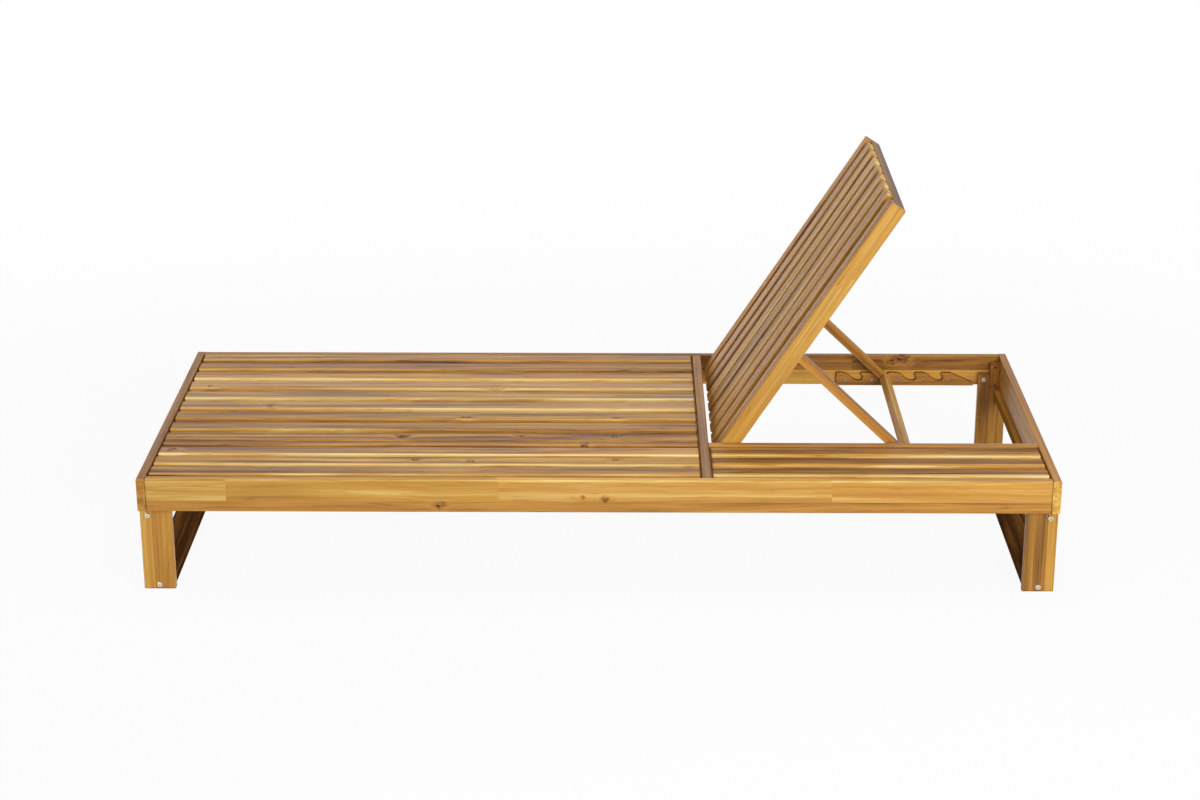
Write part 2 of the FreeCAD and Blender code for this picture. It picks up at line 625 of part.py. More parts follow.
def make_prop():
    """The prop in its pivot's own system: X down the arms to the bar. An arm's upper end is round."""
    half = "dims.arm_side / 2"
    corners = [(None, None), ("places.arm_end", None)]
    corners += [("places.arm_end", "dims.arm_side"), (None, "dims.arm_side")]
    arms = {}
    for name, far_face in (("near", "places.arm_near + dims.arm_side"), ("far", "places.arm_far")):
        arm = new_body(f"prop_{name}_arm", "prop")
        sketch = new_sketch(arm, "XZ_Plane", ("0", f"-{half}", f"-({far_face})"))
        draw_outline(sketch, corners, {3: (None, ("0", half), True)})
        pad = arm.newObject("PartDesign::Pad", arm.Name + "_pad")
        pad.Profile = sketch
        pad.setExpression("Length", "dims.arm_side")
        doc.recompute()
        ease(arm, edges_along(pad.Shape, Vector(1, 0, 0)), "dims.board_edge")
        arms[name] = keep(arm)
    bar_x = ("places.arm_end", "places.bar_end")
    bar_z = ("-dims.bar_thick / 2", "dims.bar_thick / 2")
    bar = board("prop_bar", bar_x, ("places.bar_near", "places.bar_far"), bar_z, "prop", grain="y")
    return arms, keep(bar)


def bolt_legs(rails, legs, runners, stretchers):
    """Bolts from the legs' tongues into the side rails, and from the legs into runners and stretchers."""
    rail_bolt = fastener("rail_bolt", "bolt", "dims.leg_thick + dims.rail_bolt_bite")
    frame_bolt = fastener("leg_frame_bolt", "bolt", "dims.leg_thick + dims.frame_bolt_bite")
    nut = make_barrel_nut()
    rail_bolts = []
    frame_bolts = []
    nuts = []
    for (end, side), leg in legs.items():
        inward, outward = ("near", "far") if side == FAR else ("far", "near")
        tongue = (f"{end} * places.tongue_mid", f"{side} * places.leg_face", "places.rail_bolt_height")
        rail_face = (tongue[0], f"{side} * places.side_in", tongue[2])
        drill(leg, tongue, outward, "places.bolt_hole", "dims.leg_thick")
        bite = "dims.rail_bolt_bite + dims.hole_play"
        drill(rails[outward], rail_face, outward, "places.bolt_hole", bite)
        rail_bolts.append(copy_at(rail_bolt, tongue, inward))
        for x, z, piece, half in (
            ("leg_mid", "runner_height", runners[end], "dims.runner_tall / 2"),
            ("stretcher_mid", "stretcher_height", stretchers[end], "dims.stretcher_side / 2"),
        ):
            x, z = f"{end} * places.{x}", f"places.{z}"
            outer = (x, f"{side} * places.side_in", z)
            drill(leg, outer, inward, "places.bolt_hole", "dims.leg_thick")
            drill(piece, (x, f"{side} * places.leg_face", z), inward, "places.bolt_hole",
                  "dims.frame_bolt_bite + dims.hole_play")
            below = (x, f"{side} * places.nut_place", f"{z} - {half}")
            drill(piece, below, "up", "places.nut_hole", f"{half} + dims.nut_long / 2")
            frame_bolts.append(copy_at(frame_bolt, outer, outward))
            nuts.append(copy_at(nut, (x, f"{side} * places.nut_place", z), "up"))
    group("rail_bolts", rail_bolts)
    group("leg_frame_bolts", frame_bolts)
    group("barrel_nuts", nuts)


def make_barrel_nut():
    """A barrel nut about its middle, with a cross hole for its bolt."""
    nut = new_body("barrel_nut")
    drum = nut.newObject("PartDesign::AdditiveCylinder", "barrel_nut_drum")
    drum.setExpression("Radius", "dims.nut_wide / 2")
    drum.setExpression("Height", "dims.nut_long")
    drum.setExpression("Placement.Base.z", "-dims.nut_long / 2")
    drill(nut, ("0", "-dims.nut_wide", "0"), "far", "places.bolt_hole", "2 * dims.nut_wide")
    return nut


def screw_blocks(rails, blocks):
    """Two screws from each corner block into its side rail."""
    screw = fastener("corner_block_screw", "screw", "dims.block_thick + dims.screw_bite")
    heights = ["places.rail_low + dims.block_screw_in"]
    heights += ["places.rail_low + dims.block_tall - dims.block_screw_in"]
    screws = []
    for (end, side), block in blocks.items():
        inward, outward = ("near", "far") if side == FAR else ("far", "near")
        for height in heights:
            spot = (f"{end} * places.block_mid", f"{side} * places.block_face", height)
            drill(block, spot, outward, "places.screw_hole", "dims.block_thick")
            rail_face = (spot[0], f"{side} * places.side_in", height)
            bite = "dims.screw_bite + dims.hole_play"
            drill(rails[outward], rail_face, outward, "places.screw_hole", bite)
            screws.append(copy_at(screw, spot, inward))
    group("corner_blocks", list(blocks.values()))
    group("corner_block_screws", screws)


def screw_racks(rails):
    """Both racks, each on its rail with a row of sunk screws."""
    screw = fastener("rack_screw", "screw", "dims.rack_thick - places.screw_seat + dims.screw_bite")
    far = make_rack("far_rack", "places.side_in")
    near = make_rack("near_rack", "places.inner_far + dims.rack_thick")
    sides = [(far, rails["far"], "places.side_in", -1, "far", "near")]
    sides += [(near, rails["inner"], "places.inner_far", 1, "near", "far")]
    screws = []
    for rack, rail, rail_face, out, into, facing in sides:
        for x in rack_screw_spots():
            face = (x, f"{rail_face} + {out} * dims.rack_thick", "places.rack_screw_height")
            seat = (x, f"{face[1]} - {out} * places.screw_seat", face[2])
            drill(rack, face, into, "places.screw_recess", "places.screw_seat")
            drill(rack, seat, into, "places.screw_hole", "dims.rack_thick - places.screw_seat")
            pilot = (x, rail_face, face[2])
            drill(rail, pilot, into, "places.screw_hole", "dims.screw_bite + dims.hole_play")
            screws.append(copy_at(screw, seat, facing))
    group("rack_screws", screws)


def hang_backrest(rails, back_rails):
    """Hinge bolts fixed in the far and inner rails, with their heads sunk in the backrest's rails."""
    through = "dims.back_rail - dims.pin_sink"
    collar = (f"{through} + 2 * dims.end_play", "dims.back_play - dims.end_play")
    bolt = fastener("hinge_bolt", "pin", f"{collar[0]} + {collar[1]} + dims.pin_bite", collar)
    sides = [("far", rails["far"], "places.back_far_in", "places.side_in", 1, "near")]
    sides += [("near", rails["inner"], "places.back_near_in", "places.inner_far", -1, "far")]
    bolts = []
    for into, rail, back_face, rail_face, out, facing in sides:
        back_rail = back_rails[into]
        drill(back_rail, ("0", back_face, "0"), into, "places.pin_recess", "dims.pin_sink")
        drill(back_rail, ("0", back_face, "0"), into, "places.turn_hole", "dims.back_rail")
        drill(rail, ("places.hinge_x", rail_face, "places.hinge_z"), into, "places.pin_hole",
              "dims.pin_bite + dims.hole_play")
        seat = f"{back_face} + {out} * (dims.pin_sink - dims.end_play)"
        bolts.append(copy_at(bolt, ("places.hinge_x", seat, "places.hinge_z"), facing))
    group("hinge_bolts", bolts)


def hang_prop(back_rails, arms):
    """Pivot bolts fixed in the backrest's rails, with their heads against the arms' inner faces."""
    collar = ("dims.arm_side + 2 * dims.end_play", "dims.arm_gap - dims.end_play")
    bolt = fastener("prop_pivot_bolt", "pin", f"{collar[0]} + {collar[1]} + dims.pin_bite", collar)
    sides = [("far", "places.back_far_in", "places.arm_far - dims.arm_side", 1, "near")]
    sides += [("near", "places.back_near_in", "places.arm_near + dims.arm_side", -1, "far")]
    bolts = []
    for into, rail_face, arm_face, out, facing in sides:
        pivot = ("dims.pivot_along", rail_face, "-dims.pivot_down")
        drill(arms[into], ("0", arm_face, "0"), into, "places.turn_hole", "dims.arm_side")
        drill(back_rails[into], pivot, into, "places.pin_hole", "dims.pin_bite + dims.hole_play")
        seat = f"{arm_face} - {out} * dims.end_play"
        bolts.append(copy_at(bolt, ("places.pivot_x", seat, "places.pivot_z"), facing))
    group("prop_pivot_bolts", bolts)


def screw_prop(arms, bar):
    """One sunk screw through the bar into the end of each arm."""
    screw = fastener("prop_screw", "screw", "dims.bar_wide - places.screw_seat + dims.prop_screw_bite")
    seat = "(places.bar_end - places.screw_seat)"
    slope = "(places.arm_slope * 1 deg)"
    middles = {"far": "places.arm_far - dims.arm_side / 2", "near": "places.arm_near + dims.arm_side / 2"}
    screws = []
    for name, y in middles.items():
        drill(bar, (seat, y, "0"), "along", "places.screw_recess", "places.screw_seat")
        drill(bar, ("places.arm_end", y, "0"), "along", "places.screw_hole", "dims.bar_wide")
        deep = "dims.prop_screw_bite + dims.hole_play"
        drill(arms[name], (f"places.arm_end - ({deep})", y, "0"), "along", "places.screw_hole", deep)
        at = (f"places.pivot_x + {seat} * cos{slope}", y, f"places.pivot_z + {seat} * sin{slope}")
        link = copy_at(screw, at, "along")
        link.setExpression("Placement.Rotation.Angle", "90 - places.arm_slope")
        screws.append(link)
    group("prop_screws", screws)


def write_parts():
    """Check every object of the document, then write one file for each sub-part."""
    doc.recompute()
    for thing in doc.Objects:
        if "Invalid" in thing.State or "Error" in thing.State:
            raise RuntimeError(f"{thing.Name} failed: {thing.State}")
    for thing in subparts:
        shape = thing.Shape
        if shape.isNull() or not shape.isValid() or shape.Volume <= 0:
            raise RuntimeError(f"{thing.Label} has no valid solid")
    os.makedirs("parts", exist_ok=True)
    for thing in subparts:
        thing.Shape.exportStep(os.path.join("parts", thing.Label + ".step"))
    solids = sum(len(thing.Shape.Solids) for thing in subparts)
    print(f"{len(subparts)} sub-parts, {solids} solids")


def main():
    fill_sheets()
    rails = make_rails()
    make_slats()
    make_battens()
    legs, runners, stretchers, blocks = make_leg_frames()
    bolt_legs(rails, legs, runners, stretchers)
    group("leg_stretchers", list(stretchers.values()))
    screw_blocks(rails, blocks)
    screw_racks(rails)
    back_rails = make_backrest()
    hang_backrest(rails, back_rails)
    arms, bar = make_prop()
    hang_prop(back_rails, arms)
    screw_prop(arms, bar)
    write_parts()


main()
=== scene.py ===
# %% [markdown]
# # A slatted wooden sun lounger
# The real piece is a frame of hardwood rails on board legs, with long slats for a seat, a narrow
# slatted shelf along one side and a backrest that a notched prop holds up. All the boards and bolts
# already exist as solids at their real size. This lesson gives them their looks: the wood's grain and
# glue joints, the zinc on the bolts, and the light of a plain white studio. It adds one thing that the
# solids lack: the heads of the screws that hold the slats.

# %% Load the solids
import json
import bpy
import numpy as np
from math import atan2, cos, radians, sin
from mathutils import Matrix, Vector


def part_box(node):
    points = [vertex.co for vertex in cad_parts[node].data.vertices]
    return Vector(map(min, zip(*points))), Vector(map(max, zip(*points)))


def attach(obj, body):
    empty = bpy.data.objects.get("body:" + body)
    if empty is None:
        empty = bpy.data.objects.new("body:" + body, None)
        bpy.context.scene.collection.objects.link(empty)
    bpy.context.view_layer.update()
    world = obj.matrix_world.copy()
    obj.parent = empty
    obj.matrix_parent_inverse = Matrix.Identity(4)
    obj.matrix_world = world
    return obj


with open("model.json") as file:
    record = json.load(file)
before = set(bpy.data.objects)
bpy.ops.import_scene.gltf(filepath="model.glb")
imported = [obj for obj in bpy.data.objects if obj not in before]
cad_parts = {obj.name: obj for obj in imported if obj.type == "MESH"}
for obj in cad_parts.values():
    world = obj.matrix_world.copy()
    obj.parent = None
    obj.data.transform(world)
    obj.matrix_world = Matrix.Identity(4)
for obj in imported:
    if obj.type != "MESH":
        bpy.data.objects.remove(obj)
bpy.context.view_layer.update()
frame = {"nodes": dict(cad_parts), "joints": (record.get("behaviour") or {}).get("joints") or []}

nodes = frame["nodes"]
joints = {joint["name"]: joint for joint in frame["joints"]}

# %% [markdown]
# ## Directions of the boards
# Wood has a direction: its grain runs along each board, whichever way the board lies. So each board
# gets its own three axes: along the grain, across the wide face and through the thickness. The
# backrest's boards lean by the angle that the hinge still has to go to lie flat, and the prop's arms
# slope from their pivot down to the bar. Both angles are read from the frame rather than written again.

# %% Axes for every board
X, Y, Z = Vector((1, 0, 0)), Vector((0, 1, 0)), Vector((0, 0, 1))
LEVEL = Matrix.Identity(3)


def middle_of(name):
    """The middle of a solid's box."""
    low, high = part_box(name)
    return (low + high) / 2


def leaning(angle):
    """A turn that lifts the +X direction by an angle in radians."""
    return Matrix.Rotation(-angle, 3, "Y")


pivot = Vector(joints["prop_pivot"]["pos_m"])
bar_middle = middle_of("prop_bar")
backrest_lean = leaning(radians(-joints["backrest_hinge"]["range_deg"][0]))
prop_lean = leaning(atan2(bar_middle.z - pivot.z, bar_middle.x - pivot.x))


def board_axes(grain, wide, lean=LEVEL):
    """A rotation whose columns are the grain's direction, the wide face's and the thickness's."""
    thick = grain.cross(wide)
    return lean @ Matrix((grain, wide, thick)).transposed()


print("backrest slope:", (backrest_lean @ X)[:], "prop slope:", (prop_lean @ X)[:])

# %% [markdown]
# ## Short calls for shader nodes
# A material is a small flow chart. Building it by hand takes three lines per node, so a few helpers
# keep the recipes short. The first adds any node and fills its sockets, and the others use it for sums,
# soft steps, noise, colour ramps and groups.

# %% Helpers that add nodes and do sums


def add(tree, kind, inputs=None, **settings):
    """Add a node. Inputs are keyed by socket name or number: a socket is linked, a value is set."""
    made = tree.nodes.new(kind)
    for name, setting in settings.items():
        setattr(made, name, setting)
    for key, given in (inputs or {}).items():
        if isinstance(given, bpy.types.NodeSocket):
            tree.links.new(given, made.inputs[key])
        else:
            made.inputs[key].default_value = given
    return made


def calc(tree, operation, *values):
    """The result of one arithmetic step on sockets or numbers."""
    return add(tree, "ShaderNodeMath", dict(enumerate(values)), operation=operation).outputs[0]


def vector(tree, operation, *values):
    """The result of one arithmetic step on vectors."""
    return add(tree, "ShaderNodeVectorMath", dict(enumerate(values)), operation=operation).outputs[0]


def parts_of(tree, place):
    """The three numbers of a vector."""
    return add(tree, "ShaderNodeSeparateXYZ", {0: place}).outputs


def total(tree, *values):
    """The sum of several sockets or numbers."""
    result = values[0]
    for value in values[1:]:
        result = calc(tree, "ADD", result, value)
    return result


def mixture(tree, parts, shares):
    """The sum of the parts that a table of shares names, each times its share."""
    result = 0.0
    for name, share in shares.items():
        result = calc(tree, "MULTIPLY_ADD", parts[name], share, result)
    return result


print("node helpers ready")

# %% Helpers for noise, ramps and groups
NOISE_MIDDLE = 0.5


def step_up(tree, value, low, high):
    """0 below low, 1 above high, and a soft S between them."""
    limits = {0: value, 1: low, 2: high, 3: 0.0, 4: 1.0}
    return add(tree, "ShaderNodeMapRange", limits, interpolation_type="SMOOTHSTEP").outputs[0]


def noise(tree, place, stretch, detail=2.0, roughness=0.5):
    """Smooth noise about its middle, with features of one over the stretch, in metres, along each axis."""
    scaled = vector(tree, "MULTIPLY", place, stretch)
    inputs = {"Vector": scaled, "Scale": 1.0, "Detail": detail, "Roughness": roughness}
    return add(tree, "ShaderNodeTexNoise", inputs).outputs[0]


def centred(tree, value):
    """A noise moved down, so that it swings about 0."""
    return calc(tree, "SUBTRACT", value, NOISE_MIDDLE)


def fill_ramp(ramp, stops):
    """Give a colour ramp its stops, as (position, colour), in rising order."""
    elements = ramp.color_ramp.elements
    elements.remove(elements[1])
    for index, (position, colour) in enumerate(stops):
        element = elements.new(position) if index else elements[0]
        element.position = position
        element.color = colour


def new_group(name, inputs, outputs):
    """An empty node group with sockets of the kinds given, and its two end nodes."""
    tree = bpy.data.node_groups.new(name, "ShaderNodeTree")
    for way, sockets in (("INPUT", inputs), ("OUTPUT", outputs)):
        for socket, kind in sockets.items():
            tree.interface.new_socket(name=socket, in_out=way, socket_type="NodeSocket" + kind)
    return tree, tree.nodes.new("NodeGroupInput").outputs, tree.nodes.new("NodeGroupOutput").inputs


def emptied_tree(holder):
    """The node tree of a material or a world, with nothing left in it."""
    holder.use_nodes = True
    holder.node_tree.nodes.clear()
    return holder.node_tree


def linear(red, green, blue):
    """A screen colour, 0 to 255, as the linear numbers that shaders use, by the sRGB formula."""
    screen = np.array((red, green, blue)) / 255
    light = np.where(screen > 0.04045, ((screen + 0.055) / 1.055) ** 2.4, screen / 12.92)
    return (*light.tolist(), 1.0)


print("noise, ramp and group helpers ready")

# %% [markdown]
# ## Knots
# A knot is where a branch left the trunk. The growth lines swell around it, the wood there is browner,
# a dark ring of bark shows in patches, and the heart has split into thin cracks. One way is to paint a
# dark blot; here a bell curve around the knot's middle also bends the growth lines, the ring is a
# second bell curve at some distance from the middle, and the cracks are the thin lines along which a
# noise crosses its middle value.

# %% A knot as a bell curve
KNOT_LONG = 1.15
KNOT_RAGGED = 2.4
KNOT_DETAIL = 3.0
KNOT_STRETCH = {"ragged": (60, 140, 140), "patches": (80, 120, 120), "cracks": (75, 110, 110)}
KNOT_FALLS = {"bulge": 0.25, "halo": 0.6, "heart": 2.0, "ring": 12.0}
KNOT_SHARES = {"halo": 0.16, "bark": 1.0, "cracks": 0.8}
RING_AT = 0.7
BARK_PATCHES = (0.46, 0.60)
CRACK_WIDE = (0.01, 0.07)


def bell(tree, square, fall):
    """The bell curve exp(-fall d^2), from the square of d."""
    return calc(tree, "EXPONENT", calc(tree, "MULTIPLY", square, -fall))


def make_knot():
    """Bell curves of the stretched distance d from a knot's middle: the bulge and the dark parts.

    Noise makes d uneven. The bark ring is a bell curve of d less its own radius, broken up by noise, and
    the heart is darkest where another noise is close to its middle.
    """
    tree, given, wanted = new_group(
        "knot",
        {"Place": "Vector", "Along": "Float", "Across": "Float", "Size": "Float"},
        {"Bulge": "Float", "Dark": "Float"},
    )
    place = given["Place"]
    at_along, at_across, _ = parts_of(tree, place)
    along = calc(tree, "DIVIDE", calc(tree, "SUBTRACT", at_along, given["Along"]), given["Size"])
    across = calc(tree, "DIVIDE", calc(tree, "SUBTRACT", at_across, given["Across"]), given["Size"])
    along = calc(tree, "DIVIDE", along, KNOT_LONG)
    square = total(tree, calc(tree, "MULTIPLY", along, along), calc(tree, "MULTIPLY", across, across))
    ragged = centred(tree, noise(tree, place, KNOT_STRETCH["ragged"], KNOT_DETAIL))
    square = calc(tree, "MAXIMUM", calc(tree, "MULTIPLY_ADD", ragged, KNOT_RAGGED, square), 0.0)

    off_ring = calc(tree, "SUBTRACT", calc(tree, "SQRT", square), RING_AT)
    ring = bell(tree, calc(tree, "MULTIPLY", off_ring, off_ring), KNOT_FALLS["ring"])
    patches = step_up(tree, noise(tree, place, KNOT_STRETCH["patches"]), *BARK_PATCHES)
    off_middle = centred(tree, noise(tree, place, KNOT_STRETCH["cracks"], KNOT_DETAIL))
    whole = step_up(tree, calc(tree, "ABSOLUTE", off_middle), *CRACK_WIDE)
    heart = bell(tree, square, KNOT_FALLS["heart"])
    parts = {
        "halo": bell(tree, square, KNOT_FALLS["halo"]),
        "bark": calc(tree, "MULTIPLY", ring, patches),
        "cracks": calc(tree, "MULTIPLY", heart, calc(tree, "SUBTRACT", 1.0, whole)),
    }
    bulge = bell(tree, square, KNOT_FALLS["bulge"])
    tree.links.new(calc(tree, "MULTIPLY", bulge, given["Size"]), wanted["Bulge"])
    tree.links.new(mixture(tree, parts, KNOT_SHARES), wanted["Dark"])
    return tree


knot_group = make_knot()
print("knot:", len(knot_group.nodes), "nodes")

# %% [markdown]
# ## Acacia grain
# The wood is a golden acacia with brown heartwood. Growth rings are cylinders around the trunk's pith,
# and a board is a flat cut through them, never quite parallel to the pith, which is why the lines drift
# and close into long arches. A flat picture of grain would show the same lines on every face, so this
# grain is solid: it measures each point's distance from a leaning pith and lays rings by that distance.
# Finer noise, drawn out along the grain, adds bands, lines, dark streaks, flecks, fibres and pores, and
# a slow noise makes them waver and drift from pale to brown along the board. How strong this figure is
# can be set for each board. Each glued block of a board has its own pith.

# %% Layers of the wood
# Each layer is a noise: features per metre along, across and through the board, detail, roughness, and
# the two limits between which it is made steeper, if any. The features of the broad layer and the rings
# are counted away from the pith first, then along the board.
LAYERS = {
    "wander": ((1.7, 5, 5), 2.0, 0.5, None),
    "waver": ((2.6, 9, 9), 2.0, 0.5, None),
    "broad": ((46, 0.7, 1), 2.0, 0.5, (0.3, 0.7)),
    "rings": ((260, 1.2, 1), 4.0, 0.6, (0.28, 0.72)),
    "lines": ((1.1, 80, 110), 4.0, 0.64, None),
    "bands": ((1.3, 46, 52), 2.0, 0.5, None),
    "drift": ((3.4, 14, 14), 1.0, 0.5, None),
    "flecks": ((15, 280, 280), 2.0, 0.5, (0.60, 0.74)),
    "fibres": ((7, 620, 620), 3.0, 0.6, None),
    "pores": ((70, 1900, 1900), 1.0, 0.5, (0.66, 0.76)),
    # Paler arrises: wear, and a painted highlight along the rounded edges.
    "wear_and_highlight": ((14, 30, 30), 2.0, 0.5, (0.35, 0.6)),
}
STREAK_LIMITS = (0.57, 0.72)
LINE_SWAY = 0.02
FAR_APART = (40, 40, 40)
PITH_LEAN = 0.09
PITH_WANDER = 0.035
PITH_ACROSS = 0.22
PITH_DEEP, PITH_LEAST_DEEP = 0.07, 0.012
DRIFT_DEEP = 0.5


def layer(tree, place, name):
    """One layer of the wood at a place."""
    stretch, detail, roughness, limits = LAYERS[name]
    value = noise(tree, place, stretch, detail, roughness)
    return step_up(tree, value, *limits) if limits else value


def from_pith(tree, given, place, first, second, third):
    """Distance from the pith, sqrt(across^2 + deep^2), plus a knot's bulge.

    Three chance numbers say how far the pith leans and how far off it lies, and a noise makes it wander.
    """
    along, across, deep = parts_of(tree, given["Place"])
    drift = calc(tree, "MULTIPLY", along, calc(tree, "MULTIPLY", centred(tree, third), PITH_LEAN))
    wander = calc(tree, "MULTIPLY", centred(tree, layer(tree, place, "wander")), PITH_WANDER)
    pith_across = calc(tree, "MULTIPLY", centred(tree, first), PITH_ACROSS)
    pith_deep = calc(tree, "MULTIPLY_ADD", second, PITH_DEEP, PITH_LEAST_DEEP)
    across = total(tree, across, pith_across, drift, wander)
    deep = total(tree, deep, pith_deep, calc(tree, "MULTIPLY", drift, DRIFT_DEEP))
    square = calc(tree, "MULTIPLY_ADD", deep, deep, calc(tree, "MULTIPLY", across, across))
    return total(tree, calc(tree, "SQRT", square), given["Bulge"])


def wood_layers(tree, given, chance):
    """All layers of a block, each moved far from other blocks' and bent around the knots."""
    far_away = vector(tree, "MULTIPLY", chance, FAR_APART)
    place = vector(tree, "ADD", given["Place"], far_away)
    radius = from_pith(tree, given, place, *add(tree, "ShaderNodeSeparateColor", {0: chance}).outputs)
    along = parts_of(tree, given["Place"])[0]
    around = {0: radius, 1: along, 2: parts_of(tree, far_away)[2]}
    ring_place = add(tree, "ShaderNodeCombineXYZ", around).outputs[0]
    waver = calc(tree, "MULTIPLY", centred(tree, layer(tree, place, "waver")), LINE_SWAY)
    sway = add(tree, "ShaderNodeCombineXYZ", {1: waver, 2: total(tree, given["Bulge"], waver)}).outputs[0]
    swayed = vector(tree, "ADD", place, sway)
    parts = {name: layer(tree, ring_place, name) for name in ("broad", "rings")}
    parts |= {name: layer(tree, swayed, name) for name in ("lines", "bands", "flecks")}
    parts |= {name: layer(tree, place, name) for name in ("drift", "fibres", "pores", "wear_and_highlight")}
    parts["streaks"] = step_up(tree, parts["bands"], *STREAK_LIMITS)
    parts["pores"] = calc(tree, "MULTIPLY", parts["pores"], calc(tree, "SUBTRACT", 1.0, given["End"]))
    parts["wear_and_highlight"] = calc(tree, "MULTIPLY", given["Edge"], parts["wear_and_highlight"])
    return parts | {"knots": given["Dark"], "edges": given["Edge"]}


print("layers:", list(LAYERS))

# %% Grain that fills the board
# A tone is a number: 0 is pale gold and 1 a dark brown. The shares say how much each layer adds to the
# tone, to the roughness and to the height.
WOOD_TONES = (
    # The stop below 0 is paler than any board; the slats' front strips reach it as painted light.
    (-0.25, linear(250, 222, 156)),
    (0.00, linear(240, 200, 116)),
    (0.22, linear(214, 161, 75)),
    (0.44, linear(192, 137, 62)),
    (0.66, linear(152, 104, 50)),
    (0.84, linear(116, 77, 39)),
    (1.00, linear(86, 55, 28)),
    (1.25, linear(54, 33, 17)),
)
PALEST, DARKEST = WOOD_TONES[0][0], WOOD_TONES[-1][0]
FIGURE_SHARES = {"broad": 0.22, "rings": 0.20, "lines": 1.05, "bands": 0.36, "drift": 0.36,
                 "streaks": 0.16, "flecks": 0.24}
# The negative share of wear_and_highlight paints the arrises paler: wear, and a painted highlight.
SHADE_SHARES = {"tone": 1.0, "figure": 1.0, "fibres": 0.30, "pores": 0.10, "knots": 0.48, "wear_and_highlight": -0.10,
                "end": 1.0}
ROUGH_SHARES = {"rings": 0.10, "pores": 0.25, "knots": 0.25, "edges": 0.2}
ROUGH_LEAST = 0.38
HEIGHT_SHARES = {"fibres": 0.6, "rings": 0.3, "pores": -0.7}
HUE_SPREAD, HUE_LEAST = 0.008, 0.495
VALUE_SPREAD, VALUE_LEAST = 0.16, 0.92


def make_grain():
    """Colour, roughness and height of the wood at a place in board axes, in metres."""
    tree, given, wanted = new_group(
        "acacia_grain",
        {"Place": "Vector", "Board": "Float", "Block": "Float", "Tone": "Float", "Figure": "Float",
         "Bulge": "Float", "Dark": "Float", "Edge": "Float", "End": "Float", "End shade": "Float"},
        {"Colour": "Color", "Roughness": "Float", "Height": "Float"},
    )
    name = add(tree, "ShaderNodeCombineXYZ", {0: given["Board"], 1: given["Block"]}).outputs[0]
    chance = add(tree, "ShaderNodeTexWhiteNoise", {"Vector": name}, noise_dimensions="2D").outputs["Color"]
    parts = wood_layers(tree, given, chance)

    swinging = ("broad", "rings", "lines", "bands", "drift", "fibres")
    toned = parts | {name: centred(tree, parts[name]) for name in swinging}
    figure = mixture(tree, toned, FIGURE_SHARES)
    toned["tone"] = given["Tone"]
    toned["figure"] = calc(tree, "MULTIPLY", figure, given["Figure"])
    toned["end"] = calc(tree, "MULTIPLY", given["End"], given["End shade"])
    shade = mixture(tree, toned, SHADE_SHARES)
    share = calc(tree, "DIVIDE", calc(tree, "SUBTRACT", shade, PALEST), DARKEST - PALEST)
    ramp = add(tree, "ShaderNodeValToRGB", {0: share})
    fill_ramp(ramp, [((tone - PALEST) / (DARKEST - PALEST), colour) for tone, colour in WOOD_TONES])
    first, second, _ = add(tree, "ShaderNodeSeparateColor", {0: chance}).outputs
    tint = {
        "Hue": calc(tree, "MULTIPLY_ADD", first, HUE_SPREAD, HUE_LEAST),
        "Value": calc(tree, "MULTIPLY_ADD", second, VALUE_SPREAD, VALUE_LEAST),
        "Color": ramp.outputs[0],
    }
    tree.links.new(add(tree, "ShaderNodeHueSaturation", tint).outputs[0], wanted["Colour"])
    rough = calc(tree, "ADD", mixture(tree, parts, ROUGH_SHARES), ROUGH_LEAST)
    tree.links.new(rough, wanted["Roughness"])
    tree.links.new(mixture(tree, parts, HEIGHT_SHARES), wanted["Height"])
    return tree


grain_group = make_grain()
print("grain:", len(grain_group.nodes), "nodes")

# %% [markdown]
# ## Glued blocks
# Boards this long are glued up from shorter blocks, joined end to end by little fingers cut through the
# thickness: a straight line on the wide face and a zigzag on the narrow one. Often two or three such
# strips are glued side by side as well. A ramp with hard steps is a simple way to hold a row of blocks:
# its red channel numbers the block, so that the grain changes there, and its green channel says how
# dark it is.

# %% Rows of blocks along a board
FINGER_LONG = 0.009
FINGER_HALF = 0.0022
BLOCK_LONG = 0.6
BLOCK_SHIFT = 0.25
BLOCK_SPREAD = 0.06
BLOCK_SHARE = 1 / 64
NUMBERS_PER_STRIP = 8


def block_row(tree, along, length, blocks, first_number):
    """A ramp with one hard step for each block, given as (start along the board, tone)."""
    share = calc(tree, "MULTIPLY_ADD", along, 1 / length, 0.5)
    ramp = add(tree, "ShaderNodeValToRGB", {0: share})
    ramp.color_ramp.interpolation = "CONSTANT"
    stops = []
    for index, (start, tone) in enumerate(blocks):
        position = min(max(start / length + 0.5, 0.0), 1.0) if index else 0.0
        stops.append((position, ((first_number + index) * BLOCK_SHARE, tone, 0.0, 1.0)))
    fill_ramp(ramp, stops)
    return ramp.outputs[0]


def random_blocks(rng, length, tone, block_long):
    """Blocks of uneven length, end to end, whose tones differ a little. A lone block has the tone given."""
    count = max(1, round(length / block_long))
    even = np.arange(count) / count - 0.5
    starts = length * (even + rng.uniform(-BLOCK_SHIFT, BLOCK_SHIFT, count) / count)
    tones = tone + rng.uniform(-BLOCK_SPREAD, BLOCK_SPREAD, count) * (count > 1)
    return list(zip(starts.tolist(), tones.tolist()))


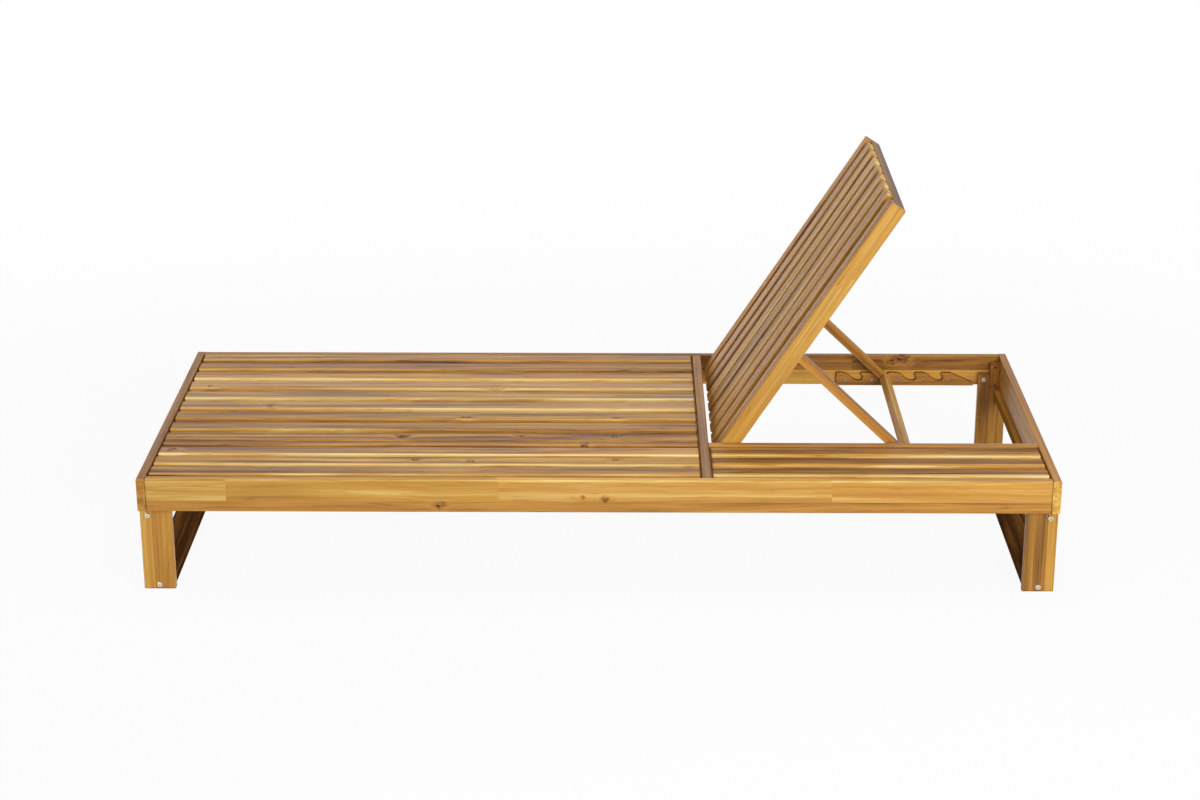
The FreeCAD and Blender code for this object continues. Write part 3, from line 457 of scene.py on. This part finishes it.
def glued_strips(tree, place, length, strips, rng, block_long):
    """The number and tone of the block at a place, picked by its strip across the wide face."""
    along, across, deep = parts_of(tree, place)
    finger = calc(tree, "PINGPONG", deep, FINGER_HALF)
    along_joint = calc(tree, "MULTIPLY_ADD", finger, FINGER_LONG / FINGER_HALF, along)
    blocks = None
    limit = None
    for index, (upper, row) in enumerate(strips):
        if not isinstance(row, list):
            row = random_blocks(rng, length, row, block_long)
        colour = block_row(tree, along_joint, length, row, NUMBERS_PER_STRIP * index + 1)
        if blocks is None:
            blocks = colour
        else:
            above = calc(tree, "GREATER_THAN", across, limit)
            mixed = {"Factor": above, 6: blocks, 7: colour}
            blocks = add(tree, "ShaderNodeMix", mixed, data_type="RGBA").outputs[2]
        limit = upper
    number, tone, _ = add(tree, "ShaderNodeSeparateColor", {0: blocks}).outputs
    return number, tone


print("block rows ready")

# %% [markdown]
# ## Edges and ends
# Hands and cloths rub a board's arrises pale, and the paler arrises are also a painted highlight, for the
# light that rounded edges catch. A sawn end drinks more oil, so it is darker, and this darkening is also
# painted shade for the dark gaps and seams where boards end; on some boards the ends are painted paler
# instead. Both can be told from how far a point lies inside the board's own box, so the box of each board
# is measured along its own axes.

# %% Measure a board and find its edges
EDGE_WIDE = 0.004
END_WIDE = 0.004


def points_of(name):
    """A solid's points, as rows of x, y and z."""
    points = np.empty(3 * len(nodes[name].data.vertices))
    nodes[name].data.vertices.foreach_get("co", points)
    return points.reshape(-1, 3)


def board_size(name, axes):
    """The middle of a board and half its length, width and thickness, measured along its own axes."""
    turned = points_of(name) @ np.array(axes)
    low, high = turned.min(axis=0), turned.max(axis=0)
    return axes @ Vector((low + high) / 2), Vector((high - low) / 2)


def edge_and_end(tree, place, half, sawn_round):
    """How close a point is to an arris and to a sawn end, from 0 to 1.

    Of the three distances to the faces of a box, the middle one is the distance to the nearest edge. A
    board that was sawn round to an outline counts as an end wherever a point isn't on its wide faces,
    so on the racks the darkening of ends is a painted shadow along every sawn edge.
    """
    inside = vector(tree, "SUBTRACT", half, vector(tree, "ABSOLUTE", place))
    along, across, deep = parts_of(tree, inside)
    lesser = calc(tree, "MINIMUM", along, across)
    greater = calc(tree, "MAXIMUM", along, across)
    to_edge = calc(tree, "MAXIMUM", lesser, calc(tree, "MINIMUM", greater, deep))
    edge = calc(tree, "SUBTRACT", 1.0, step_up(tree, to_edge, 0.0, EDGE_WIDE))
    if sawn_round:
        end = step_up(tree, deep, 0.0, END_WIDE)
    else:
        end = calc(tree, "SUBTRACT", 1.0, step_up(tree, along, 0.0, END_WIDE))
    return edge, end


near_rail_half = board_size("near_side_rail", board_axes(X, Z))[1]
print("near side rail, half sizes:", [round(size, 4) for size in near_rail_half])

# %% [markdown]
# ## One board's finish
# A board's material turns the object's own coordinates into board axes, asks the rows of blocks which
# block a point belongs to, adds any knots, and hands all of it to the grain. The surface is a satin
# oil: a middling roughness that pores, knots and rubbed edges raise, and a shallow relief of fibres,
# rings and pores.

# %% Put wood on a board
RELIEF_DEEP = 0.00012
RELIEF_STRENGTH = 0.25
OIL_IOR = 1.5
OIL_POLISH = 0.5
# How much sawn ends darken: end grain, and painted shade for the dark gaps and seams where boards end.
END_SHADE = 0.2
BOARD_FIGURE = 0.8
BOARD_STEP = 0.618
boards_made = []


def put_on(name, material):
    """Make a material the only one of a solid."""
    nodes[name].data.materials.clear()
    nodes[name].data.materials.append(material)


def finish_board(name, grain, wide, tones, lean=LEVEL, knots=(), block_long=BLOCK_LONG, polish=OIL_POLISH,
                 end_shade=END_SHADE, sawn_round=False, figure=BOARD_FIGURE):
    """Give a solid its wood.

    Tones are one tone, or strips from low to high across the wide face: (upper limit or None, blocks or a
    tone). Knots are (along, across, size) from the board's middle, in metres.
    """
    number = len(boards_made)
    axes = board_axes(grain, wide, lean)
    middle, half = board_size(name, axes)
    material = bpy.data.materials.new(name)
    tree = emptied_tree(material)
    where = add(tree, "ShaderNodeTexCoord").outputs["Object"]
    turned = {"Vector": where, "Location": middle, "Rotation": axes.to_euler()}
    place = add(tree, "ShaderNodeMapping", turned, vector_type="TEXTURE").outputs[0]
    edge, end = edge_and_end(tree, place, half, sawn_round)
    strips = tones if isinstance(tones, list) else [(None, tones)]
    rng = np.random.default_rng(number)
    block, tone = glued_strips(tree, place, 2 * half.x, strips, rng, block_long)
    bulge, dark = 0.0, 0.0
    for along, across, size in knots:
        inputs = {"Place": place, "Along": along, "Across": across, "Size": size}
        knot = add(tree, "ShaderNodeGroup", inputs, node_tree=knot_group)
        bulge = total(tree, knot.outputs["Bulge"], bulge)
        dark = total(tree, knot.outputs["Dark"], dark)

    inputs = {"Place": place, "Board": number * BOARD_STEP, "Block": block, "Tone": tone, "Figure": figure,
              "Bulge": bulge, "Dark": dark, "Edge": edge, "End": end, "End shade": end_shade}
    wood = add(tree, "ShaderNodeGroup", inputs, node_tree=grain_group).outputs
    relief = {"Strength": RELIEF_STRENGTH, "Distance": RELIEF_DEEP, "Height": wood["Height"]}
    surface = add(tree, "ShaderNodeBsdfPrincipled", {
        "Base Color": wood["Colour"],
        "Roughness": wood["Roughness"],
        "Normal": add(tree, "ShaderNodeBump", relief).outputs[0],
        "IOR": OIL_IOR,
        "Specular IOR Level": polish,
    })
    add(tree, "ShaderNodeOutputMaterial", {"Surface": surface.outputs[0]})
    put_on(name, material)
    boards_made.append(name)


print("board finish ready")

# %% [markdown]
# ## Rails
# The near side rail is the piece one sees first: three strips with three knots. The lowest is browner, the
# middle one has four blocks, from plain honey to streaky gold, and a thin one along the top, paler over the
# two middle blocks, is a painted highlight on the rail's upper edge and top face. The far rail is golden
# below and browner above, with a pair of knots near the head.
# The other rails are darker, quieter boards. The head end rail is paler below a thin top strip: painted
# light that lifts its shaded inner face.

# %% Finish the rails
near_rail_strips = [
    (-0.0125, [(-1.0, 0.42)]),
    (0.0335, [(-1.0, 0.22), (-0.8104, 0.33), (-0.2153, 0.22), (0.5027, 0.30)]),
    # The top strip's pale blocks are a painted highlight along the rail's upper edge.
    (None, [(-1.0, 0.26), (-0.8104, 0.12), (-0.2153, 0.10), (0.5027, 0.34)]),
]
near_rail_knots = [(-0.342, -0.022, 0.0085), (0.015, -0.006, 0.007), (-0.033, -0.002, 0.005)]
# The near rail's stronger end darkening paints the dark seams at its corners, a painted shade.
finish_board("near_side_rail", X, Z, near_rail_strips, knots=near_rail_knots, polish=0.4, end_shade=0.6,
             figure=0.75)
far_rail_strips = [(0.0, [(-1.0, 0.36)]), (None, [(-1.0, 0.60), (0.62, 0.52)])]
far_rail_knots = [(0.745, 0.030, 0.012), (0.715, 0.018, 0.008)]
finish_board("far_side_rail", X, Z, far_rail_strips, knots=far_rail_knots, polish=0.3)
finish_board("foot_end_rail", Y, Z, tones=0.64, polish=0.4, end_shade=-0.3)
# The paler lower strip is painted light on the shaded inner face.
head_rail_painted_light_strips = [(0.032, 0.36), (None, 0.50)]
finish_board("head_end_rail", Y, Z, head_rail_painted_light_strips, polish=0.3, end_shade=-0.2)
finish_board("cross_rail", Y, Z, tones=0.62)
finish_board("inner_rail", X, Z, tones=0.40)
print("rails:", boards_made)

# %% [markdown]
# ## Seat and shelf slats
# Seen from the front, thin golden lines run between browner tops: the slats' front faces, which face the
# light. So a slat has two strips: a narrow front one with its own tone, and the rest. The front strips are
# mostly paler, a painted light that makes the lit front faces golden, and their tones also vary board by
# board with the wood. The tones are a maker's choice, board by board, from the far side to the near side.

# %% Finish the slats
FRONT_STRIP = 0.006
SHELF_STRIP = 0.010
SLAT_BLOCK = 1.3
SLAT_FIGURE = 1.3
# Pairs of (top, front): the mostly paler fronts are partly painted light on the lit front faces.
SEAT_TONES = ((0.50, 0.44), (0.60, 0.34), (0.52, 0.02), (0.36, 0.20), (0.52, -0.24), (0.45, -0.06),
              (0.42, 0.36), (0.56, 0.20), (0.46, 0.52), (0.48, 0.06), (0.38, -0.12), (0.52, 0.30))
SEAT_POLISH = (0.75, 0.5, 0.55, 1.0, 0.8, 0.85, 0.45, 0.45, 0.3, 0.6, 0.3, 0.45)
SEAT_KNOTS = {
    1: [(-0.318, 0.0, 0.007)],
    4: [(-0.55, -0.010, 0.007), (0.13, -0.014, 0.008)],
    6: [(-0.388, -0.010, 0.009)],
    7: [(0.072, -0.012, 0.009), (0.417, -0.010, 0.008)],
    9: [(-0.065, 0.002, 0.008), (0.199, 0.004, 0.007), (0.414, 0.004, 0.007)],
    10: [(-0.572, 0.004, 0.012)],
    11: [(-0.025, 0.006, 0.007), (0.097, -0.004, 0.007), (0.418, 0.006, 0.008)],
}
# Pairs of (top, front): the paler fronts are partly painted light on the lit front faces.
SHELF_TONES = ((0.56, -0.05), (0.66, -0.05), (0.63, -0.25))
SHELF_POLISH = 0.1


# A slat's front strip, mostly paler than its top, is partly painted light on the lit front face.
def finish_slat(name, top, front, lean=LEVEL, front_wide=FRONT_STRIP, **finish):
    """A slat with its front strip, on the side towards the near rail, in a tone of its own."""
    low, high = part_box(name)
    strips = [(front_wide - (high.y - low.y) / 2, front), (None, top)]
    finish_board(name, X, Y, strips, lean, block_long=SLAT_BLOCK, figure=SLAT_FIGURE, **finish)


for number, ((top, front), polish) in enumerate(zip(SEAT_TONES, SEAT_POLISH), 1):
    finish_slat(f"seat_slat_{number:02d}", top, front, knots=SEAT_KNOTS.get(number, ()), polish=polish)
finish_slat("seat_divider_slat", top=0.68, front=0.50, knots=[(0.346, -0.004, 0.008)])
for number, (top, front) in enumerate(SHELF_TONES, 1):
    finish_slat(f"shelf_slat_{number}", top, front, front_wide=SHELF_STRIP, polish=SHELF_POLISH)
finish_board("seat_battens", Y, X, tones=0.30)
finish_board("shelf_battens", Y, X, tones=0.32)
print("boards finished:", len(boards_made))

# %% [markdown]
# ## Legs and what joins them
# The legs are boards on end, so their grain stands up. Each is two strips glued side by side, one more
# golden and one browner. Runners and stretchers are left dull, and the runners' dark brown is painted
# shade, for the shade under the seat. The racks are sawn to an outline, and their sawn sides, the toothed
# edges among them, are darkened as a painted shadow along the teeth and notches.

# %% Finish the legs
RAW_POLISH = 0.0
LEG_POLISH = 0.3
RACK_PAINTED_SHADOW = 0.45
RUNNER_BLOCK = 1.0
LEG_STRIPS = {
    "foot_near_leg": [(-0.010, 0.18), (None, 0.36)],
    "head_near_leg": [(0.014, 0.56), (None, 0.38)],
    "foot_far_leg": [(0.0, 0.54), (None, 0.46)],
    "head_far_leg": [(0.012, 0.48), (None, 0.40)],
}
for name, strips in LEG_STRIPS.items():
    finish_board(name, Z, X, strips, polish=LEG_POLISH)
# The runners' dark tone is painted shade: they stand in the shade under the seat.
for end in ("foot", "head"):
    finish_board(f"{end}_runner", Y, X, tones=0.86, block_long=RUNNER_BLOCK, polish=RAW_POLISH)
finish_board("leg_stretchers", Y, Z, tones=0.42, block_long=RUNNER_BLOCK, polish=RAW_POLISH)
finish_board("corner_blocks", Z, Y, tones=0.54, polish=0.2)
# The racks' darker sawn sides are a painted shadow along their teeth and notches.
for name, tone in (("far_rack", 0.48), ("near_rack", 0.46)):
    finish_board(name, X, Z, tone, polish=LEG_POLISH, end_shade=RACK_PAINTED_SHADOW, sawn_round=True)
print("boards finished:", len(boards_made))

# %% [markdown]
# ## Backrest and prop
# The same wood on leaning boards: the axes lean with the backrest, so the grain follows its slats. The
# near rail of the backrest is three strips: two golden ones, with a finger joint each part of the way
# up, and a browner one along its front edge.

# %% Finish the backrest and the prop
BACK_TONES = ((0.44, 0.58), (0.46, 0.46), (0.44, 0.12), (0.42, 0.54), (0.46, 0.22), (0.46, 0.20),
              (0.46, 0.08))
BACK_END_SHADE = -0.25
BACK_CROSS_TONES = {"low": 0.44, "middle": 0.44, "top": 0.86}
back_rail_strips = [
    (-0.002, [(-0.4, 0.30), (0.16, 0.44)]),
    (0.0165, [(-0.4, 0.14), (0.13, 0.32)]),
    (None, 0.52),
]
finish_board("backrest_near_rail", X, Z, back_rail_strips, backrest_lean, polish=0.55)
finish_board("backrest_far_rail", X, Z, tones=0.44, lean=backrest_lean, polish=0.35)
for number, (top, front) in enumerate(BACK_TONES, 1):
    finish_slat(f"backrest_slat_{number}", top, front, backrest_lean, end_shade=BACK_END_SHADE)
finish_slat("backrest_near_edge_slat", top=0.46, front=0.40, lean=backrest_lean)
finish_slat("backrest_far_edge_slat", top=0.46, front=0.30, lean=backrest_lean)
for place, tone in BACK_CROSS_TONES.items():
    finish_board(f"backrest_{place}_cross_rail", Y, X, tone, backrest_lean, polish=0.2)
# The arm's darker upper strip, with its top face, is painted shade from the backrest above it.
near_arm_painted_shade_strips = [(0.0085, 0.36), (None, 0.72)]
finish_board("prop_near_arm", X, Z, near_arm_painted_shade_strips, prop_lean, polish=0.45)
finish_board("prop_far_arm", X, Z, tones=0.56, lean=prop_lean, polish=0.1)
finish_board("prop_bar", Y, X, tones=0.22, lean=prop_lean)
print("boards finished:", len(boards_made))

# %% [markdown]
# ## Zinc on the fasteners
# The bolts are plated with zinc, which is pale and a little cloudy. A mirror-like metal would look like
# chrome, so soft noise varies both its colour and its roughness. The racks' screws are a duller grey, and
# the corner blocks' small screws are a dark brown: painted shade that makes them look sunk in dark holes.

# %% Finish the bolts, screws and nuts
PLATINGS = {
    "zinc_plate": ((196, 190, 176), (232, 228, 216)),
    "dull_zinc": ((150, 132, 112), (188, 172, 152)),
    # This dark brown is painted shade, for the corner block screws' sunken holes.
    "brown_painted_shade_plate": ((126, 84, 52), (172, 120, 76)),
}
FASTENERS = {"rail_bolts": "zinc_plate", "leg_frame_bolts": "zinc_plate", "barrel_nuts": "zinc_plate",
             "hinge_bolts": "zinc_plate", "prop_pivot_bolts": "zinc_plate", "rack_screws": "dull_zinc",
             "prop_screws": "dull_zinc", "corner_block_screws": "brown_painted_shade_plate"}
CLOUD_STRETCH, CLOUD_LIMITS = (420, 420, 420), (0.3, 0.7)
CLOUD_DETAIL, CLOUD_ROUGHNESS = 4.0, 0.6
METAL_ROUGH_SPREAD, METAL_ROUGH_LEAST = 0.25, 0.2
SCRATCH_STRETCH = (900, 2600, 900)
SCRATCH_DEEP = 0.00005
SCRATCH_STRENGTH = 0.25


def make_plating(name, dark, pale):
    """Cloudy metal: noise moves the colour and the roughness together."""
    material = bpy.data.materials.new(name)
    tree = emptied_tree(material)
    where = add(tree, "ShaderNodeTexCoord").outputs["Object"]
    cloud = noise(tree, where, CLOUD_STRETCH, CLOUD_DETAIL, CLOUD_ROUGHNESS)
    ramp = add(tree, "ShaderNodeValToRGB", {0: step_up(tree, cloud, *CLOUD_LIMITS)})
    fill_ramp(ramp, [(0.0, linear(*dark)), (1.0, linear(*pale))])
    scratch = noise(tree, where, SCRATCH_STRETCH)
    relief = {"Strength": SCRATCH_STRENGTH, "Distance": SCRATCH_DEEP, "Height": scratch}
    surface = add(tree, "ShaderNodeBsdfPrincipled", {
        "Base Color": ramp.outputs[0],
        "Roughness": calc(tree, "MULTIPLY_ADD", cloud, METAL_ROUGH_SPREAD, METAL_ROUGH_LEAST),
        "Normal": add(tree, "ShaderNodeBump", relief).outputs[0],
        "Metallic": 1.0,
    })
    add(tree, "ShaderNodeOutputMaterial", {"Surface": surface.outputs[0]})
    return material


platings = {name: make_plating(name, dark, pale) for name, (dark, pale) in PLATINGS.items()}
for name, plating in FASTENERS.items():
    put_on(name, platings[plating])
print("fasteners finished:", len(FASTENERS))

# %% [markdown]
# ## Screws that hold the slats
# Every slat is screwed to the battens under it, and those of the backrest to its cross rails. The heads
# show only from below and behind. A whole screw with its thread could be modelled, but only a head is
# ever seen, so each is a small lathe: a profile of radius and height, carried round the screw's axis.
# All the heads of one group are one mesh, worked out at once. Where the slats and battens cross is read
# from the frame.

# %% Screw heads as lathes
HEAD_PROFILE = np.array(((3.4, -0.5), (3.4, 0.7), (2.4, 1.5), (1.5, 1.6), (1.2, 0.6))) / 1000
HEAD_SIDES = 12


def put_in_scene(name, data):
    """A new object of the scene that shows the mesh, lamp or lens given."""
    made = bpy.data.objects.new(name, data)
    bpy.context.scene.collection.objects.link(made)
    return made


def make_screws(name, places, outward, body):
    """Heads at some places: place + r (cos(a) side + sin(a) other) + h outward, for radius r and height h.

    Both come from the profile, and side and other are square to the outward direction.
    """
    outward, side = np.array(outward), np.array(Y)
    angle = np.linspace(0, 2 * np.pi, HEAD_SIDES, endpoint=False)[:, None]
    around = np.cos(angle) * side + np.sin(angle) * np.cross(outward, side)
    radius, height = HEAD_PROFILE.T[:, :, None, None]
    points = np.array(places)[:, None, None] + radius * around + height * outward
    index = np.arange(len(HEAD_PROFILE) * HEAD_SIDES).reshape(-1, HEAD_SIDES)
    onward = np.roll(index, -1, axis=1)
    walls = np.stack((index[:-1], onward[:-1], onward[1:], index[1:]), axis=-1).reshape(-1, 4)
    starts = index.size * np.arange(len(places))[:, None, None]
    faces = []
    for part in (walls, index[:1, ::-1], index[-1:]):
        faces += (starts + part).reshape(-1, part.shape[1]).tolist()
    mesh = bpy.data.meshes.new(name)
    mesh.from_pydata(points.reshape(-1, 3).tolist(), [], faces)
    mesh.materials.append(platings["zinc_plate"])
    screws = put_in_scene(name, mesh)
    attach(screws, body)
    print(name, len(places), "heads,", len(mesh.polygons), "faces")


print("head profile, mm:", (HEAD_PROFILE * 1000).tolist())

# %% Screws under the battens and behind the backrest
BATTEN_APART = 0.033
BATTEN_LEAST = 0.02


def batten_middles(name):
    """The middles along X of a group's battens: the runs of its points that are wider than a cleat."""
    places = np.unique(points_of(name)[:, 0])
    runs = np.split(places, np.where(np.diff(places) > BATTEN_APART)[0] + 1)
    return [(run[0] + run[-1]) / 2 for run in runs if run[-1] - run[0] > BATTEN_LEAST]


seat_slats = [name for name in nodes if name.startswith("seat_slat_")] + ["seat_divider_slat"]
shelf_slats = [name for name in nodes if name.startswith("shelf_slat_")]
back_slats = [name for name in nodes if name.startswith("backrest_") and "slat" in name]
for group, slats in (("seat", seat_slats), ("shelf", shelf_slats)):
    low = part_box(f"{group}_battens")[0].z
    places = [(x, middle_of(slat).y, low) for x in batten_middles(f"{group}_battens") for slat in slats]
    make_screws(f"{group}_slat_screws", places, -Z, "frame")
back_axes = board_axes(Y, X, backrest_lean)
backwards = back_axes.col[2]
back_places = []
for rail in BACK_CROSS_TONES:
    middle, half = board_size(f"backrest_{rail}_cross_rail", back_axes)
    behind = middle + half.z * backwards
    back_places += [(behind.x, middle_of(slat).y, behind.z) for slat in back_slats]
make_screws("backrest_slat_screws", back_places, backwards, "backrest")

# %% [markdown]
# ## A white studio
# The lounger stands in a white room with no corners. A white sky that only the camera and reflections
# see at full strength keeps the background white without flooding the wood with light. The floor is a
# wide disc that fades out into that white and still takes the soft shadow.

# %% Floor
FLOOR_RADIUS, FLOOR_CENTRE = 9.0, 0.01
FLOOR_RINGS, FLOOR_SPOKES = 12, 64
FLOOR_BELOW = 0.0005
FADE_FROM, FADE_TO = 1.6, 3.6
FLOOR_GLOW = 0.93
FLOOR_LIT = (0.20, 0.19, 0.18, 1)
FLOOR_SEEN = (0.95, 0.95, 0.95, 1)
WHITE = (1, 1, 1, 1)


def seen_directly(tree):
    """1 for rays from the camera, from mirrors and through glass, and 0 for light that falls on things."""
    path = add(tree, "ShaderNodeLightPath").outputs
    mirrored = calc(tree, "MAXIMUM", path["Is Glossy Ray"], path["Is Transmission Ray"])
    return calc(tree, "MAXIMUM", path["Is Camera Ray"], mirrored)


def make_floor():
    """A disc: x = r cos(a), y = r sin(a) on a grid of radii r and angles a, with one face at the centre.

    It lies a hair below the runners, so that the two never share a plane.
    """
    radius = np.linspace(FLOOR_CENTRE, FLOOR_RADIUS, FLOOR_RINGS)
    angle = np.linspace(0, 2 * np.pi, FLOOR_SPOKES, endpoint=False)
    r, a = np.meshgrid(radius, angle, indexing="ij")
    points = np.stack((r * np.cos(a), r * np.sin(a), np.full_like(r, -FLOOR_BELOW)), axis=-1).reshape(-1, 3)
    index = np.arange(r.size).reshape(r.shape)
    around = np.roll(index, -1, axis=1)
    quads = np.stack((index[:-1], index[1:], around[1:], around[:-1]), axis=-1).reshape(-1, 4)
    mesh = bpy.data.meshes.new("floor")
    mesh.from_pydata(points.tolist(), [], [*quads.tolist(), index[0].tolist()])
    return put_in_scene("floor", mesh)


def make_floor_finish():
    """Pale to direct view and greyer where it throws light back, so undersides stay dark.

    It is clear towards the edge, and clear from below, so that the underside can be looked at.
    """
    material = bpy.data.materials.new("studio_floor")
    tree = emptied_tree(material)
    where = add(tree, "ShaderNodeTexCoord").outputs["Object"]
    away = add(tree, "ShaderNodeVectorMath", {0: where}, operation="LENGTH").outputs["Value"]
    seen = seen_directly(tree)
    shades = {"Factor": seen, 6: FLOOR_LIT, 7: FLOOR_SEEN}
    shade = add(tree, "ShaderNodeMix", shades, data_type="RGBA").outputs[2]
    paint = add(tree, "ShaderNodeBsdfDiffuse", {"Color": shade})
    glow = add(tree, "ShaderNodeEmission", {"Color": WHITE, "Strength": 1.0})
    glow_share = calc(tree, "MULTIPLY", seen, FLOOR_GLOW)
    lit = add(tree, "ShaderNodeMixShader", {0: glow_share, 1: paint.outputs[0], 2: glow.outputs[0]})
    clear = add(tree, "ShaderNodeBsdfTransparent")
    below = add(tree, "ShaderNodeNewGeometry").outputs["Backfacing"]
    fade = calc(tree, "MAXIMUM", step_up(tree, away, FADE_FROM, FADE_TO), below)
    faded = add(tree, "ShaderNodeMixShader", {0: fade, 1: lit.outputs[0], 2: clear.outputs[0]})
    add(tree, "ShaderNodeOutputMaterial", {"Surface": faded.outputs[0]})
    return material


floor = make_floor()
floor.data.materials.append(make_floor_finish())
print("floor:", len(floor.data.polygons), "faces")

# %% Sky
AMBIENT = 0.10


def make_sky():
    """White to direct view, and dimmer as a light."""
    world = bpy.data.worlds.new("white_room")
    tree = emptied_tree(world)
    strength = calc(tree, "MULTIPLY_ADD", seen_directly(tree), 1 - AMBIENT, AMBIENT)
    sky = add(tree, "ShaderNodeBackground", {"Color": WHITE, "Strength": strength})
    add(tree, "ShaderNodeOutputWorld", {"Surface": sky.outputs[0]})
    return world


bpy.context.scene.world = make_sky()
print("sky:", bpy.context.scene.world.name)

# %% [markdown]
# ## Soft boxes
# Four large soft lights do what a photographer's soft boxes do. The strongest stands before the long
# side, towards the head, and makes the near faces golden. Weaker ones hang overhead, for the tops, and
# stand to the left and behind, to keep the other sides from going dull. Being large, they leave only
# soft shadows. The ones before and behind are hidden from reflections, because tops seen from the other
# side would mirror them as a milky haze.

# %% Lights
# Each box has its place, the point that it faces, its width and height in metres, and its power in
# watts.
SOFT_BOXES = {
    "front_soft_box": ((2.0, -5.0, 1.9), (0.1, 0.0, 0.25), 3.6, 2.2, 260.0),
    "top_soft_box": ((0.2, 0.4, 4.2), (0.0, 0.0, 0.25), 3.6, 2.4, 45.0),
    "left_soft_box": ((-4.2, -2.4, 2.8), (0.1, 0.0, 0.3), 3.0, 2.2, 50.0),
    "rear_soft_box": ((-0.5, 4.8, 0.9), (0.0, 0.0, 0.3), 3.6, 1.4, 110.0),
}
HIDDEN_FROM_GLOSS = ("front_soft_box", "rear_soft_box")
for name, (at, towards, wide, tall, power) in SOFT_BOXES.items():
    lamp = bpy.data.lights.new(name, "AREA")
    lamp.shape = "RECTANGLE"
    lamp.size = wide
    lamp.size_y = tall
    lamp.energy = power
    holder = put_in_scene(name, lamp)
    holder.location = at
    holder.rotation_euler = (Vector(towards) - Vector(at)).to_track_quat("-Z", "Y").to_euler()
    holder.visible_glossy = name not in HIDDEN_FROM_GLOSS
print("lights:", list(SOFT_BOXES))

# %% [markdown]
# ## Camera
# The view is from the near long side, about five metres away and a little above the seat, through a
# long lens. Its place and angles were solved from the corners of the frame, so the render lines up with
# the photograph; the small shift is where the lens's axis met the picture.

# %% Camera
IMAGE_WIDE, IMAGE_TALL = 1200, 800
FOCAL_PIXELS = 2469.0
AXIS_PIXEL = (595.2, 398.1)
SENSOR_WIDE = 36.0
CAMERA_AT = Vector((0.0447, -5.3561, 2.2745))
PITCH, YAW, ROLL = radians(20.217), radians(0.589), radians(-0.053)

level_ahead = Vector((-sin(YAW), cos(YAW), 0))
level_right = Vector((cos(YAW), sin(YAW), 0))
ahead = cos(PITCH) * level_ahead - sin(PITCH) * Z
level_up = sin(PITCH) * level_ahead + cos(PITCH) * Z
right = cos(ROLL) * level_right + sin(ROLL) * level_up
up = cos(ROLL) * level_up - sin(ROLL) * level_right

lens = bpy.data.cameras.new("camera")
lens.sensor_width = SENSOR_WIDE
lens.lens = FOCAL_PIXELS / IMAGE_WIDE * SENSOR_WIDE
lens.shift_x = (IMAGE_WIDE / 2 - AXIS_PIXEL[0]) / IMAGE_WIDE
lens.shift_y = (AXIS_PIXEL[1] - IMAGE_TALL / 2) / IMAGE_WIDE
camera = put_in_scene("camera", lens)
camera.matrix_world = Matrix.Translation(CAMERA_AT) @ Matrix((right, up, -ahead)).transposed().to_4x4()
bpy.context.scene.camera = camera
bpy.context.scene.view_settings.view_transform = "Standard"
print("lens:", round(lens.lens, 2), "mm")
